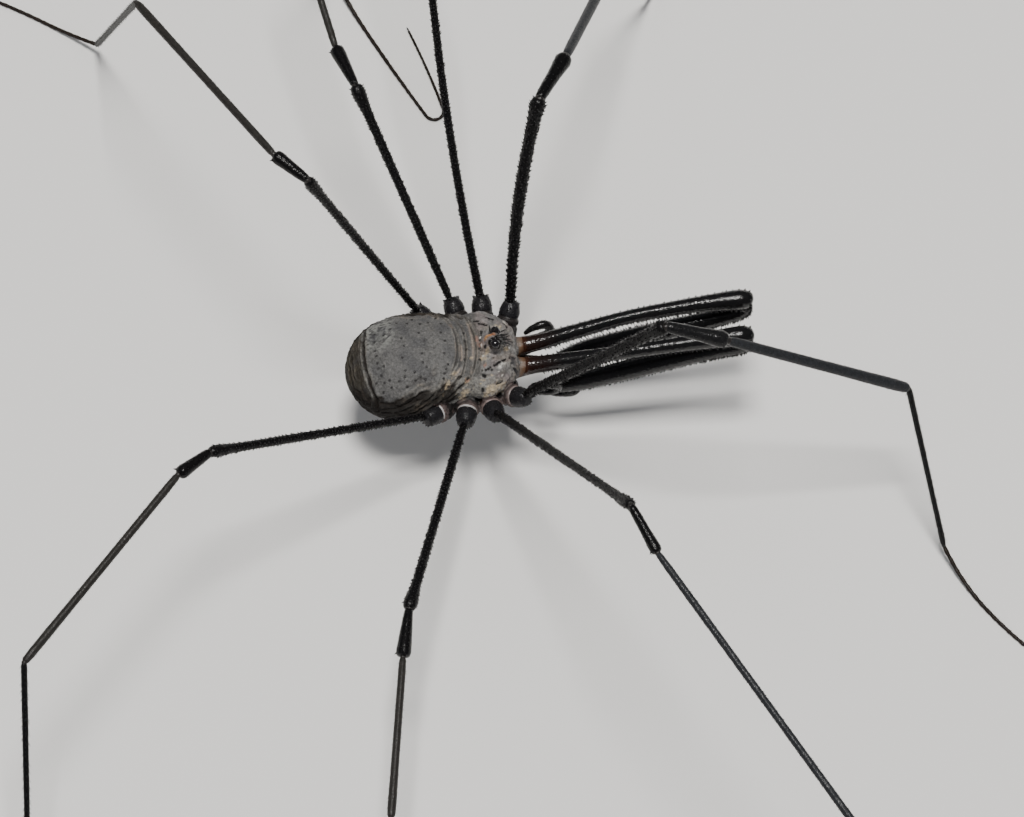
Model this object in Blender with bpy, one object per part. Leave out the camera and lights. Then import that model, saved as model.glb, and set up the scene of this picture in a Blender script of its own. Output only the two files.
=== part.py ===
# A life-size harvestman: a male with very long two-part chelicerae folded at an elbow,
# standing on eight long legs with its feet flat on the floor.
# Sizes are in millimetres and MM turns them into metres. +X is the head end, +Y is the
# animal's left and +Z is up. Places are measured from a point inside the body, midway
# between the second and third hips, which stands BODY_HEIGHT above the floor.

import math

import bmesh
import bpy
import numpy as np
from mathutils import Matrix, Vector

MM = 0.001
BODY_HEIGHT = 5.0
GAP = 0.3
EYE_GAP = 0.08
LEG_SIDES = 8
BODY_SIDES = 24
SHOULDER = 0.55
TIP_WIDTH = 0.58
UP = Vector((0, 0, 1))
LEFTWARD = Vector((0, 1, 0))
SIDES = {"left": 1, "right": -1}

# The trunk, as stations from tail to head: x, half width, top and underside.
OPISTHOSOMA = (
    (-5.48, 0.30, -0.40, -0.95),
    (-5.32, 0.80, -0.05, -1.25),
    (-5.00, 1.30, 0.32, -1.55),
    (-4.60, 1.76, 0.66, -1.82),
    (-4.00, 2.14, 0.98, -2.05),
    (-3.30, 2.30, 1.16, -2.20),
    (-2.40, 2.30, 1.22, -2.22),
    (-1.50, 2.18, 1.18, -2.12),
    (-0.80, 2.06, 1.08, -1.95),
    (-0.20, 1.92, 0.98, -1.70),
)
OPISTHOSOMA_WIDEST = -0.55
FOLDS = (-5.18, -4.84, -4.42, -1.55)
FOLD_HALF_LENGTH = 0.13
FOLD_DEPTH = 0.09
PROSOMA = (
    (-0.36, 1.97, 0.94, -1.20),
    (0.10, 2.02, 1.00, -1.30),
    (0.60, 1.98, 0.98, -1.30),
    (1.10, 1.78, 0.86, -1.25),
    (1.50, 1.50, 0.66, -1.10),
    (1.75, 1.15, 0.42, -0.95),
    (1.88, 0.80, 0.15, -0.80),
)
PROSOMA_WIDEST = 0.02
BELLY_PLATE = (
    (-2.60, 0.60, -1.45, -1.95),
    (-2.20, 0.95, -1.25, -2.10),
    (-1.20, 1.20, -0.95, -2.00),
    (0.20, 1.25, -0.70, -1.80),
    (1.30, 1.00, -0.60, -1.55),
    (1.80, 0.60, -0.60, -1.35),
)
BELLY_WIDEST = -5.0
LEAST_HALF_HEIGHT = 0.2

# The eyes sit on the flanks of a low mound in the middle of the carapace.
OCULARIUM_LENGTH = 0.52
OCULARIUM_WIDTH = 0.44
OCULARIUM_CENTRE = Vector((0.80, 0, 0.98))
OCULARIUM_HEIGHT = 0.68
EYE_RADIUS = 0.20
EYE_CENTRE = Vector((0.85, 0.37, 1.40))

# The hips: the ball of each trochanter, and where its coxa grows from the belly.
HIPS = {
    1: Vector((1.72, 2.07, -0.15)),
    2: Vector((0.58, 2.52, -0.32)),
    3: Vector((-0.59, 2.60, -0.43)),
    4: Vector((-1.97, 2.38, -0.45)),
}
COXA_ROOTS = {
    1: Vector((0.95, 0.50, -1.05)),
    2: Vector((0.25, 0.60, -1.20)),
    3: Vector((-0.45, 0.65, -1.30)),
    4: Vector((-1.10, 0.60, -1.40)),
}
COXA_RADII = (0.62, 0.62, 0.44)
COXA_FULL_TO = 0.6
TROCHANTER_RADIUS = 0.42
TROCHANTER_END_RADIUS = 0.34
THIGH_CLEARED_TO = 5.0

# Each leg: lengths of femur, patella, tibia and metatarsus, and for each the heading from
# straight ahead toward the left and the slope above the level, in degrees. A metatarsus has
# its heading only, because it slopes down until its end is ANKLE_HEIGHT above the floor.
LEG_LENGTHS = {
    1: (9.9, 2.7, 8.9, 7.9),
    2: (16.5, 2.2, 15.5, 16.0),
    3: (10.3, 2.15, 6.9, 11.0),
    4: (11.5, 1.75, 10.2, 15.0),
}
LEG_POSES = {
    "left_1": ((71.5, 55), (59, -11), (68, -30), (55, None)),
    "right_1": ((-15.5, 53), (-11, -17), (-4, -31), (-72, None)),
    "left_2": ((94.5, 39), (96, -8), (98, -6), (103, None)),
    "right_2": ((-68.5, 45), (-68, -8), (-62, -5), (-58, None)),
    "left_3": ((112.5, 33), (108, -4), (101, 10), (60, None)),
    "right_3": ((-109, 11), (-102, -3), (-99.5, -4), (-102, None)),
    "left_4": ((168.5, 67), (139, 14), (120, -8), (108, None)),
    "right_4": ((-158.5, 29), (-142, 10), (-131, 0), (-96, None)),
}
ANKLE_HEIGHT = 0.8
FEMUR_BOWS = {"left_1": 0.25, "left_2": 0.27}
ARTICLES = ("femur", "patella", "tibia", "metatarsus")
ARTICLE_STATIONS = (0.0, 0.3, 0.7, 1.0)
ARTICLE_RADII = {
    "femur": (0.28, 0.26, 0.31),
    "patella": (0.26, 0.29, 0.34),
    "tibia": (0.26, 0.26, 0.29),
    "metatarsus": (0.26, 0.25, 0.25),
}

# Each tarsus: its first heading on the floor, then lengths with the turn to the left in each.
TARSI = {
    "left_1": (58, ((15.0, -34),)),
    "right_1": (-68, ((15.0, 52),)),
    "left_2": (108, ((22.0, 26),)),
    "right_2": (-52, ((22.0, 30),)),
    "left_3": (-67, ((8.2, 4), (1.2, 165), (4.4, 6))),
    "right_3": (-112, ((15.0, -36),)),
    "left_4": (138, ((17.0, 36),)),
    "right_4": (-106, ((17.0, -42),)),
}
TARSUS_RADII = (0.25, 0.14)
TARSUS_LANDING = 3.0
TARSUS_STEP = 1.5
TARSUS_TURN_STEP = 30

# The chelicerae: a basal article out to the elbow, and a second one folded back under it
# that ends in a pincer near the mouth.
COLLAR_PATH = ((1.45, 0.48, -0.50), (2.16, 0.49, -0.42))
COLLAR_RADIUS = 0.37
BASAL_PATH = (
    (2.48, 0.50, -0.36), (4.20, 0.64, 0.10), (6.60, 0.82, 0.66), (9.20, 0.88, 1.04),
    (11.00, 0.87, 1.20), (11.68, 0.85, 1.15),
)
BASAL_RADII = (0.37, 0.33, 0.30, 0.34, 0.43, 0.35)
DISTAL_PATH = (
    (11.70, 0.84, 0.50), (11.38, 0.82, 0.24), (10.40, 0.76, 0.00), (8.40, 0.73, -0.58),
    (6.40, 0.73, -1.20), (4.90, 0.74, -1.65), (4.00, 0.69, -2.02), (3.10, 0.56, -2.36),
)
DISTAL_RADII = (0.25, 0.31, 0.35, 0.39, 0.41, 0.37, 0.24, 0.10)
FINGER_PATH = ((4.55, 0.82, -2.46), (4.10, 0.80, -2.74), (3.50, 0.70, -2.92), (2.90, 0.57, -2.86))
FINGER_RADII = (0.25, 0.22, 0.16, 0.09)
# How far each chelicera reaches forward, as a share of the lengths above.
CHELICERA_REACH = {"left": 1.0, "right": 0.98}

# The small pedipalps, each bent up beside the mouth with its end turned back.
PALP_PATHS = {
    "left": (
        (2.38, 1.16, -1.25), (2.90, 1.30, -1.26), (3.34, 1.38, -1.04), (3.44, 1.42, -0.62),
        (3.08, 1.50, -0.34), (2.54, 1.38, -0.50), (2.22, 1.22, -0.72),
    ),
    "right": (
        (2.38, -1.16, -1.30), (2.90, -1.28, -1.38), (3.34, -1.34, -1.22), (3.50, -1.36, -0.82),
        (3.16, -1.44, -0.50), (2.62, -1.36, -0.58), (2.26, -1.22, -0.80),
    ),
}
PALP_RADII = (0.25, 0.25, 0.25, 0.25, 0.25, 0.21, 0.12)

# Colour, roughness and metallic value of each kind of surface.
FINISHES = {
    "body": ((0.17, 0.165, 0.16), 0.75, 0.0),
    "eye": ((0.004, 0.004, 0.005), 0.08, 0.0),
    "chelicera": ((0.014, 0.010, 0.009), 0.25, 0.0),
    "palp": ((0.012, 0.011, 0.011), 0.45, 0.0),
    "hip": ((0.030, 0.028, 0.028), 0.60, 0.0),
    "leg": ((0.014, 0.013, 0.013), 0.50, 0.0),
    "tibia": ((0.055, 0.060, 0.066), 0.40, 0.0),
    "foot": ((0.030, 0.018, 0.011), 0.55, 0.0),
}


def clear_scene():
    for thing in list(bpy.data.objects):
        bpy.data.objects.remove(thing, do_unlink=True)


def finish(name, kind):
    """One principled material for one node."""
    colour, roughness, metallic = FINISHES[kind]
    material = bpy.data.materials.new(name + "_finish")
    material.use_nodes = True
    shader = material.node_tree.nodes["Principled BSDF"]
    shader.inputs["Base Color"].default_value = (*colour, 1)
    shader.inputs["Roughness"].default_value = roughness
    shader.inputs["Metallic"].default_value = metallic
    return material


def ring(centre, across, upward, radius):
    """Points round a circle, with flat sides facing up and down."""
    points = []
    for index in range(LEG_SIDES):
        angle = 2 * math.pi * (index + 0.5) / LEG_SIDES
        points.append(centre + (across * math.cos(angle) + upward * math.sin(angle)) * radius)
    return points


def closed_body(name, rings):
    """A capped tube through the rings, made by pushing one cap along from ring to ring."""
    bm = bmesh.new()
    bmesh.ops.create_circle(bm, cap_ends=True, segments=len(rings[0]), radius=1)
    bm.faces.ensure_lookup_table()
    cap = bm.faces[0]
    for vertex, point in zip(cap.verts, rings[0]):
        vertex.co = point
    for points in rings[1:]:
        cap = bmesh.ops.extrude_discrete_faces(bm, faces=[cap])["faces"][0]
        for vertex, point in zip(cap.verts, points):
            vertex.co = point
    bmesh.ops.holes_fill(bm, edges=[edge for edge in bm.edges if edge.is_boundary])
    bmesh.ops.recalc_face_normals(bm, faces=bm.faces)
    bm.transform(Matrix.Scale(MM, 4))
    mesh = bpy.data.meshes.new(name)
    bm.to_mesh(mesh)
    bm.free()
    body = bpy.data.objects.new(name, mesh)
    bpy.context.scene.collection.objects.link(body)
    return body


def tangents(path):
    """Unit directions along a path, averaged at its inner points."""
    steps = [(b - a).normalized() for a, b in zip(path, path[1:])]
    inner = [(a + b).normalized() for a, b in zip(steps, steps[1:])]
    return [steps[0], *inner, steps[-1]]


def rounded(path, radii):
    """The path and radii with a shoulder and a blunt tip worked in at both ends, sized by radius."""
    path = list(path)
    radii = list(radii)
    for end, inner in ((0, 1), (-1, -2)):
        tip = path[end]
        inward = (path[inner] - tip).normalized()
        radius = radii[end]
        shoulder = tip + inward * (SHOULDER * radius)
        path[end] = shoulder
        place = 0 if end == 0 else len(path)
        path.insert(place, tip)
        radii.insert(place, TIP_WIDTH * radius)
    return path, radii


def limb(name, path, radii, across=None, extra=0.0):
    """A rounded bar along a path; extra makes it that much larger all round."""
    path = [Vector(point) for point in path]
    radii = [radius + extra for radius in radii]
    if extra:
        path[0] = path[0] - (path[1] - path[0]).normalized() * extra
        path[-1] = path[-1] + (path[-1] - path[-2]).normalized() * extra
    path, radii = rounded(path, radii)
    rings = []
    for centre, forward, radius in zip(path, tangents(path), radii):
        reference = UP.cross(forward) if across is None else across
        side = (reference - forward * reference.dot(forward)).normalized()
        rings.append(ring(centre, side, forward.cross(side), radius))
    return closed_body(name, rings)


def mirrored(path, side):
    return [(x, y * side, z) for x, y, z in path]


def evaluated_mesh(body):
    """A new mesh of the object as its modifiers leave it."""
    graph = bpy.context.evaluated_depsgraph_get()
    return bpy.data.meshes.new_from_object(body.evaluated_get(graph))


def keep_largest(mesh):
    """Drops every closed surface of the mesh but the one with the most faces."""
    bm = bmesh.new()
    bm.from_mesh(mesh)
    unseen = set(bm.faces)
    islands = []
    while unseen:
        island = set()
        queue = [unseen.pop()]
        while queue:
            face = queue.pop()
            island.add(face)
            for edge in face.edges:
                for other in edge.link_faces:
                    if other in unseen:
                        unseen.remove(other)
                        queue.append(other)
        islands.append(island)
    largest = max(islands, key=len)
    scraps = [face for face in bm.faces if face not in largest]
    bmesh.ops.delete(bm, geom=scraps, context="FACES")
    bm.to_mesh(mesh)
    bm.free()


def combine(body, pieces, operation):
    """Fuses the pieces into the body, or cuts them out of it, and removes them."""
    group = bpy.data.collections.new(body.name + "_pieces")
    for piece in pieces:
        bpy.context.scene.collection.objects.unlink(piece)
        group.objects.link(piece)
    bpy.context.scene.collection.children.link(group)
    boolean = body.modifiers.new("boolean", "BOOLEAN")
    boolean.operation = operation
    boolean.operand_type = "COLLECTION"
    boolean.collection = group
    boolean.solver = "EXACT"
    boolean.use_self = True
    mesh = evaluated_mesh(body)
    body.modifiers.clear()
    body.data = mesh
    for piece in pieces:
        bpy.data.objects.remove(piece, do_unlink=True)
    bpy.data.collections.remove(group)
    keep_largest(body.data)


def trunk(name, stations, widest, fold_places=(), extra=0.0):
    """A body form through stations along X, fullest at the height called widest."""
    table = np.array(stations)
    places = list(table[:, 0])
    for fold in fold_places:
        places.extend((fold - FOLD_HALF_LENGTH, fold, fold + FOLD_HALF_LENGTH))
    places = sorted(set(places))
    rings = []
    for x in places:
        half_width, top, bottom = (np.interp(x, table[:, 0], table[:, k]) for k in (1, 2, 3))
        depth = FOLD_DEPTH if x in fold_places else 0.0
        grow = extra - depth
        middle = min(max(widest, bottom + LEAST_HALF_HEIGHT), top - LEAST_HALF_HEIGHT)
        stretch = -extra if x == places[0] else extra if x == places[-1] else 0.0
        points = []
        for index in range(BODY_SIDES):
            angle = 2 * math.pi * (index + 0.5) / BODY_SIDES
            height = top - middle if math.sin(angle) > 0 else middle - bottom
            y = (half_width + grow) * math.cos(angle)
            z = middle + (height + grow) * math.sin(angle)
            points.append(Vector((x + stretch, y, z)))
        rings.append(points)
    return closed_body(name, rings)


def ball(name, centre, radii):
    """A closed ball with three radii."""
    bm = bmesh.new()
    bmesh.ops.create_uvsphere(bm, u_segments=12, v_segments=8, radius=1)
    bm.transform(Matrix.Translation(centre) @ Matrix.Diagonal((*radii, 1)))
    bm.transform(Matrix.Scale(MM, 4))
    mesh = bpy.data.meshes.new(name)
    bm.to_mesh(mesh)
    bm.free()
    body = bpy.data.objects.new(name, mesh)
    bpy.context.scene.collection.objects.link(body)
    return body


def on_side(point, side):
    return Vector((point.x, point.y * side, point.z))


def hip(side, number):
    return on_side(HIPS[number], side)


def coxa(name, side, number, extra=0.0):
    """The short barrel from the belly out to the trochanter."""
    root = on_side(COXA_ROOTS[number], side)
    centre = hip(side, number)
    outward = (centre - root).normalized()
    tip = centre - outward * (TROCHANTER_RADIUS + GAP)
    return limb(name, (root, root.lerp(tip, COXA_FULL_TO), tip), COXA_RADII, extra=extra)


def trochanter(name, side, number, extra=0.0):
    """The ball at the hip, a little longer than wide."""
    centre = hip(side, number)
    outward = (centre - on_side(COXA_ROOTS[number], side)).normalized()
    reach = outward * TROCHANTER_RADIUS
    radii = (TROCHANTER_END_RADIUS, TROCHANTER_RADIUS, TROCHANTER_END_RADIUS)
    return limb(name, (centre - reach, centre, centre + reach), radii, extra=extra)


def heading(azimuth, slope=0.0):
    azimuth = math.radians(azimuth)
    slope = math.radians(slope)
    level = math.cos(slope)
    return Vector((level * math.cos(azimuth), level * math.sin(azimuth), math.sin(slope)))


def leg_joints(leg):
    """The points where the leg bends, from the hip to the root of the tarsus."""
    side, number = leg.split("_")
    number = int(number)
    points = [hip(SIDES[side], number)]
    for length, (azimuth, slope) in zip(LEG_LENGTHS[number], LEG_POSES[leg]):
        if slope is None:
            drop = points[-1].z + BODY_HEIGHT - ANKLE_HEIGHT
            slope = -math.degrees(math.asin(drop / length))
        points.append(points[-1] + heading(azimuth, slope) * length)
    return points


def joint_setback(before, after, radius):
    """How far two rounded bars stop short of the joint so that the gap stays between them."""
    half_bend = before.angle(after) / 2
    return (radius + GAP / 2) / math.cos(half_bend) - radius


def article(name, start, end, setbacks, radii, bow=0.0, extra=0.0):
    """One straight or slightly bowed leg article between two joints."""
    forward = (end - start).normalized()
    first = start + forward * setbacks[0]
    last = end - forward * setbacks[1]
    side = UP.cross(forward).normalized()
    path = []
    for fraction in ARTICLE_STATIONS:
        sway = 4 * bow * fraction * (1 - fraction)
        path.append(first.lerp(last, fraction) + side * sway)
    return limb(name, path, (radii[0], radii[1], radii[1], radii[2]), extra=extra)


def tarsus(name, leg, root):
    """The foot: it comes down onto the floor in a short curve and lies along it."""
    azimuth, runs = TARSI[leg]
    length = sum(run[0] for run in runs)
    places = [(0.0, root.xy, azimuth)]
    for run, turn in runs:
        steps = max(math.ceil(run / TARSUS_STEP), math.ceil(abs(turn) / TARSUS_TURN_STEP))
        for _ in range(steps):
            distance, point, azimuth = places[-1]
            middle = azimuth + turn / steps / 2
            point = point + heading(middle).xy * (run / steps)
            places.append((distance + run / steps, point, azimuth + turn / steps))
    rings = []
    flat = math.cos(math.pi / LEG_SIDES)
    setback = GAP / 2 + TARSUS_RADII[0]
    blunt = ((0.0, TIP_WIDTH), (SHOULDER, 1.0))
    for distance, point, azimuth in places:
        radius = TARSUS_RADII[0] + (TARSUS_RADII[1] - TARSUS_RADII[0]) * distance / length
        along = heading(azimuth)
        across = UP.cross(along)
        drop = max(0.0, 1 - distance / TARSUS_LANDING) ** 2
        if distance == 0:
            spots = [(setback + shift * radius, scale) for shift, scale in blunt]
        elif math.isclose(distance, length):
            spots = [(-shift * radius, scale) for shift, scale in reversed(blunt)]
        else:
            spots = [(0.0, 1.0)]
        for shift, scale in spots:
            size = radius * scale
            floor = size * flat - BODY_HEIGHT
            height = floor + (root.z - radius * flat + BODY_HEIGHT) * drop
            centre = Vector((point.x, point.y, height)) + along * shift
            rings.append(ring(centre, across, UP, size))
    return closed_body(name, rings)


def build_leg(leg):
    """Trochanter, femur, patella, tibia, metatarsus and tarsus of one leg."""
    side, number = leg.split("_")
    number = int(number)
    side = SIDES[side]
    joints = leg_joints(leg)
    prefix = "leg_" + leg + "_"
    nodes = {prefix + "trochanter": (trochanter(prefix + "trochanter", side, number), "hip")}
    runs = [(b - a).normalized() for a, b in zip(joints, joints[1:])]
    for index, kind in enumerate(ARTICLES):
        radii = ARTICLE_RADII[kind]
        if index == 0:
            near = TROCHANTER_RADIUS + GAP
        else:
            near = joint_setback(runs[index - 1], runs[index], radii[0])
        if index < len(ARTICLES) - 1:
            far = joint_setback(runs[index], runs[index + 1], radii[2])
        else:
            far = GAP / 2
        bow = FEMUR_BOWS.get(leg, 0.0) if kind == "femur" else 0.0
        name = prefix + kind
        body = article(name, joints[index], joints[index + 1], (near, far), radii, bow)
        nodes[name] = (body, {"tibia": "tibia", "metatarsus": "foot"}.get(kind, "leg"))
    nodes[prefix + "tarsus"] = (tarsus(prefix + "tarsus", leg, joints[-1]), "foot")
    return nodes


def build_prosoma():
    """Carapace, belly plate, eight coxae, the eye mound and the two cheliceral collars."""
    body = trunk("prosoma", PROSOMA, PROSOMA_WIDEST)
    pieces = [trunk("belly_plate", BELLY_PLATE, BELLY_WIDEST)]
    pieces.append(
        ball("mound", OCULARIUM_CENTRE, (OCULARIUM_LENGTH, OCULARIUM_WIDTH, OCULARIUM_HEIGHT))
    )
    for word, side in SIDES.items():
        pieces.append(limb("collar_" + word, mirrored(COLLAR_PATH, side), (COLLAR_RADIUS,) * 2))
        for number in HIPS:
            pieces.append(coxa(f"coxa_{word}_{number}", side, number))
    combine(body, pieces, "UNION")
    sockets = []
    for word, side in SIDES.items():
        reach = EYE_RADIUS + EYE_GAP
        sockets.append(ball("socket_" + word, on_side(EYE_CENTRE, side), (reach,) * 3))
    combine(body, sockets, "DIFFERENCE")
    return body


def build_opisthosoma():
    """The abdomen, cut back wherever the front body, hips or thighs lie against it."""
    body = trunk("opisthosoma", OPISTHOSOMA, OPISTHOSOMA_WIDEST, FOLDS)
    cutters = [
        trunk("cut_carapace", PROSOMA, PROSOMA_WIDEST, extra=GAP),
        trunk("cut_belly", BELLY_PLATE, BELLY_WIDEST, extra=GAP),
    ]
    for word, side in SIDES.items():
        for number in (2, 3, 4):
            cutters.append(coxa(f"cut_coxa_{word}_{number}", side, number, GAP))
            cutters.append(trochanter(f"cut_hip_{word}_{number}", side, number, GAP))
        joints = leg_joints(word + "_4")
        reach = (0, (joints[1] - joints[0]).length - THIGH_CLEARED_TO)
        radii = ARTICLE_RADII["femur"]
        cutters.append(article("cut_thigh_" + word, joints[0], joints[1], reach, radii, extra=GAP))
    combine(body, cutters, "DIFFERENCE")
    return body


def build_chelicera(word, side):
    """Basal article, folded second article with its fixed finger, and the moving finger."""
    forms = {
        "basal": (BASAL_PATH, BASAL_RADII),
        "distal": (DISTAL_PATH, DISTAL_RADII),
        "finger": (FINGER_PATH, FINGER_RADII),
    }
    nodes = {}
    root = BASAL_PATH[0][0]
    reach = CHELICERA_REACH[word]
    for kind, (path, radii) in forms.items():
        name = f"chelicera_{word}_{kind}"
        line = [(root + (x - root) * reach, y * side, z) for x, y, z in path]
        nodes[name] = (limb(name, line, radii, LEFTWARD), "chelicera")
    return nodes


def build_all():
    nodes = {"prosoma": (build_prosoma(), "body"), "opisthosoma": (build_opisthosoma(), "body")}
    for word, side in SIDES.items():
        eye = ball("eye_" + word, on_side(EYE_CENTRE, side), (EYE_RADIUS,) * 3)
        nodes["eye_" + word] = (eye, "eye")
        palp = limb("pedipalp_" + word, PALP_PATHS[word], PALP_RADII, LEFTWARD)
        nodes["pedipalp_" + word] = (palp, "palp")
        nodes.update(build_chelicera(word, side))
    for leg in LEG_POSES:
        nodes.update(build_leg(leg))
    return nodes


def stand_on_floor(nodes):
    """Hangs every node on one empty, over the middle of the floor that the animal covers."""
    corners = []
    for body, _ in nodes.values():
        corners.extend(vertex.co for vertex in body.data.vertices)
    low = Vector(min(corner[axis] for corner in corners) for axis in range(3))
    high = Vector(max(corner[axis] for corner in corners) for axis in range(3))
    stand = bpy.data.objects.new("stand_point", None)
    stand.location = (-(low.x + high.x) / 2, -(low.y + high.y) / 2, BODY_HEIGHT * MM)
    bpy.context.scene.collection.objects.link(stand)
    for body, _ in nodes.values():
        body.parent = stand


clear_scene()
all_nodes = build_all()
for node_name, (node_body, node_kind) in all_nodes.items():
    node_body.data.materials.clear()
    node_body.data.materials.append(finish(node_name, node_kind))
    node_body.data.shade_smooth()
    node_body.data.set_sharp_from_angle(angle=math.radians(50))
stand_on_floor(all_nodes)
bpy.context.view_layer.update()
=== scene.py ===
import math

import bmesh
import bpy
import numpy as np
from mathutils import Matrix, Vector, noise
from mathutils.bvhtree import BVHTree


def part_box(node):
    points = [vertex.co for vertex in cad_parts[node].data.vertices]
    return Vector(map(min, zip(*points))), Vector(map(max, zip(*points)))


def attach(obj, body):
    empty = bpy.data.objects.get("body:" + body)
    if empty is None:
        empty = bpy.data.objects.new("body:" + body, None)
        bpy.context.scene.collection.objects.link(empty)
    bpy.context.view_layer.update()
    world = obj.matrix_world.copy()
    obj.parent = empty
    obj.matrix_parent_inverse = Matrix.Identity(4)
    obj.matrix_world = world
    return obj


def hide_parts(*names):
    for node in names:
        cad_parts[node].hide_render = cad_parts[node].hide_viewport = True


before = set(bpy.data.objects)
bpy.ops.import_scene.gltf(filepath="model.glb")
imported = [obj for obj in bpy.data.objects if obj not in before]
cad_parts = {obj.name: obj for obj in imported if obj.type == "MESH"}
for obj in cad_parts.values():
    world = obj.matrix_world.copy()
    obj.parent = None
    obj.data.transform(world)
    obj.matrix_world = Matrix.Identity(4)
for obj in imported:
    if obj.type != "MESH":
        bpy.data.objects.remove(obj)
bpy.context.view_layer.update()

# Where the animal stands, and the camera. Sizes below are in millimetres from a point inside the
# body, midway between the second and third hips: +X is the head end, +Y the animal's left, +Z up.
# The node of the left eye tells where that point is.
MM = 0.001
EYE_CENTRE = Vector((0.85, 0.37, 1.40))
LOOK_DOWN = math.radians(62)
LOOK_ALONG = math.radians(6)
CAMERA_DISTANCE = 220.0
MM_PER_PIXEL = 0.042
PICTURE_SIZE = (1024, 817)
BODY_POINT_PIXEL = (474, 356)
SENSOR_WIDTH = 36.0
NEAR_CLIP = 0.01
UP = Vector((0, 0, 1))

eye_low, eye_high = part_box("eye_left")
BODY_POINT = (eye_low + eye_high) / 2 - EYE_CENTRE * MM

right = Vector((math.cos(LOOK_ALONG), -math.sin(LOOK_ALONG), 0))
level = Vector((math.sin(LOOK_ALONG), math.cos(LOOK_ALONG), 0))
forward = level * math.cos(LOOK_DOWN) - UP * math.sin(LOOK_DOWN)
above = right.cross(forward)
step = MM_PER_PIXEL / CAMERA_DISTANCE
sideways = (BODY_POINT_PIXEL[0] - PICTURE_SIZE[0] / 2) * step
downward = (BODY_POINT_PIXEL[1] - PICTURE_SIZE[1] / 2) * step
sight = forward + right * sideways - above * downward
camera_data = bpy.data.cameras.new("camera")
camera_data.sensor_width = SENSOR_WIDTH
camera_data.lens = SENSOR_WIDTH / (PICTURE_SIZE[0] * step)
camera_data.clip_start = NEAR_CLIP
camera = bpy.data.objects.new("camera", camera_data)
axes = Matrix((right, above, -forward)).transposed().to_4x4()
camera.matrix_world = Matrix.Translation(BODY_POINT - sight * CAMERA_DISTANCE * MM) @ axes
bpy.context.scene.collection.objects.link(camera)
bpy.context.scene.camera = camera


# The body: carapace, abdomen, belly and the eight coxae are one tough grey cuticle, finely
# granular, folded across the back where its plates meet and deeply wrinkled down the sides. It is
# fused from closed forms, and then the folds, pits and wrinkles are pressed into it.
SIDES = {"left": 1, "right": -1}
LEFTWARD = Vector((0, 1, 0))
# Rings of the abdomen: place along the body, half width, top, bottom, height of the widest line.
ABDOMEN = (
    (-5.46, 0.30, -0.42, -0.92, -0.55),
    (-5.30, 0.84, -0.04, -1.24, -0.55),
    (-5.00, 1.32, 0.34, -1.54, -0.55),
    (-4.60, 1.78, 0.68, -1.80, -0.55),
    (-4.00, 2.14, 1.00, -2.02, -0.55),
    (-3.30, 2.30, 1.18, -2.16, -0.55),
    (-2.40, 2.31, 1.24, -2.18, -0.55),
    (-1.60, 2.22, 1.20, -2.08, -0.52),
    (-0.90, 2.06, 1.10, -1.92, -0.45),
    (-0.30, 1.90, 1.00, -1.75, -0.35),
    (0.30, 1.72, 0.94, -1.62, -0.30),
    (0.90, 1.50, 0.84, -1.50, -0.30),
    (1.40, 1.15, 0.60, -1.35, -0.30),
    (1.72, 0.75, 0.25, -1.15, -0.35),
)
# Rings of the shield over the fore body: place, half width, top, rim.
SHIELD = (
    (-1.45, 1.20, 0.98, -0.12),
    (-1.20, 1.96, 1.04, -0.26),
    (-0.98, 2.10, 1.06, -0.20),
    (-0.70, 2.02, 1.04, -0.10),
    (-0.36, 1.90, 1.02, -0.04),
    (0.00, 2.02, 1.02, -0.06),
    (0.26, 2.10, 1.02, -0.10),
    (0.52, 2.02, 1.00, -0.08),
    (0.80, 1.90, 0.96, -0.06),
    (1.04, 1.80, 0.88, -0.08),
    (1.26, 1.62, 0.78, -0.08),
    (1.48, 1.42, 0.64, -0.10),
    (1.66, 1.20, 0.48, -0.14),
    (1.80, 0.98, 0.28, -0.20),
    (1.88, 0.62, 0.02, -0.26),
)
# How far out and how far under the rim its underside runs.
SHIELD_UNDERSIDE = (
    (-0.97, 0.10), (-0.80, 0.16), (-0.40, 0.18), (0.40, 0.18), (0.80, 0.16), (0.97, 0.10),
)
# Rings of the belly plate, told as the abdomen's.
BELLY_PLATE = (
    (-2.60, 0.60, -1.45, -1.98, -1.75),
    (-2.20, 0.95, -1.25, -2.14, -1.75),
    (-1.20, 1.20, -0.95, -2.04, -1.60),
    (0.20, 1.25, -0.70, -1.84, -1.40),
    (1.30, 1.00, -0.60, -1.58, -1.20),
    (1.80, 0.60, -0.60, -1.38, -1.10),
)
# Rings of the eye mound: place, half width, top. All share one foot and one widest line.
EYE_MOUND = (
    (0.22, 0.20, 1.02), (0.36, 0.40, 1.24), (0.56, 0.47, 1.54), (0.80, 0.46, 1.71),
    (1.02, 0.44, 1.64), (1.20, 0.38, 1.36), (1.36, 0.26, 1.00), (1.46, 0.14, 0.80),
)
MOUND_FOOT = 0.60
MOUND_WIDEST = 0.85
# The four hips of the left side, and where their coxae start under the body.
HIPS = {
    1: Vector((1.72, 2.07, -0.15)), 2: Vector((0.58, 2.52, -0.32)),
    3: Vector((-0.59, 2.60, -0.43)), 4: Vector((-1.97, 2.38, -0.45)),
}
COXA_ROOTS = {
    1: Vector((0.95, 0.50, -1.05)), 2: Vector((0.25, 0.60, -1.20)),
    3: Vector((-0.45, 0.65, -1.30)), 4: Vector((-1.10, 0.60, -1.40)),
}
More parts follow.
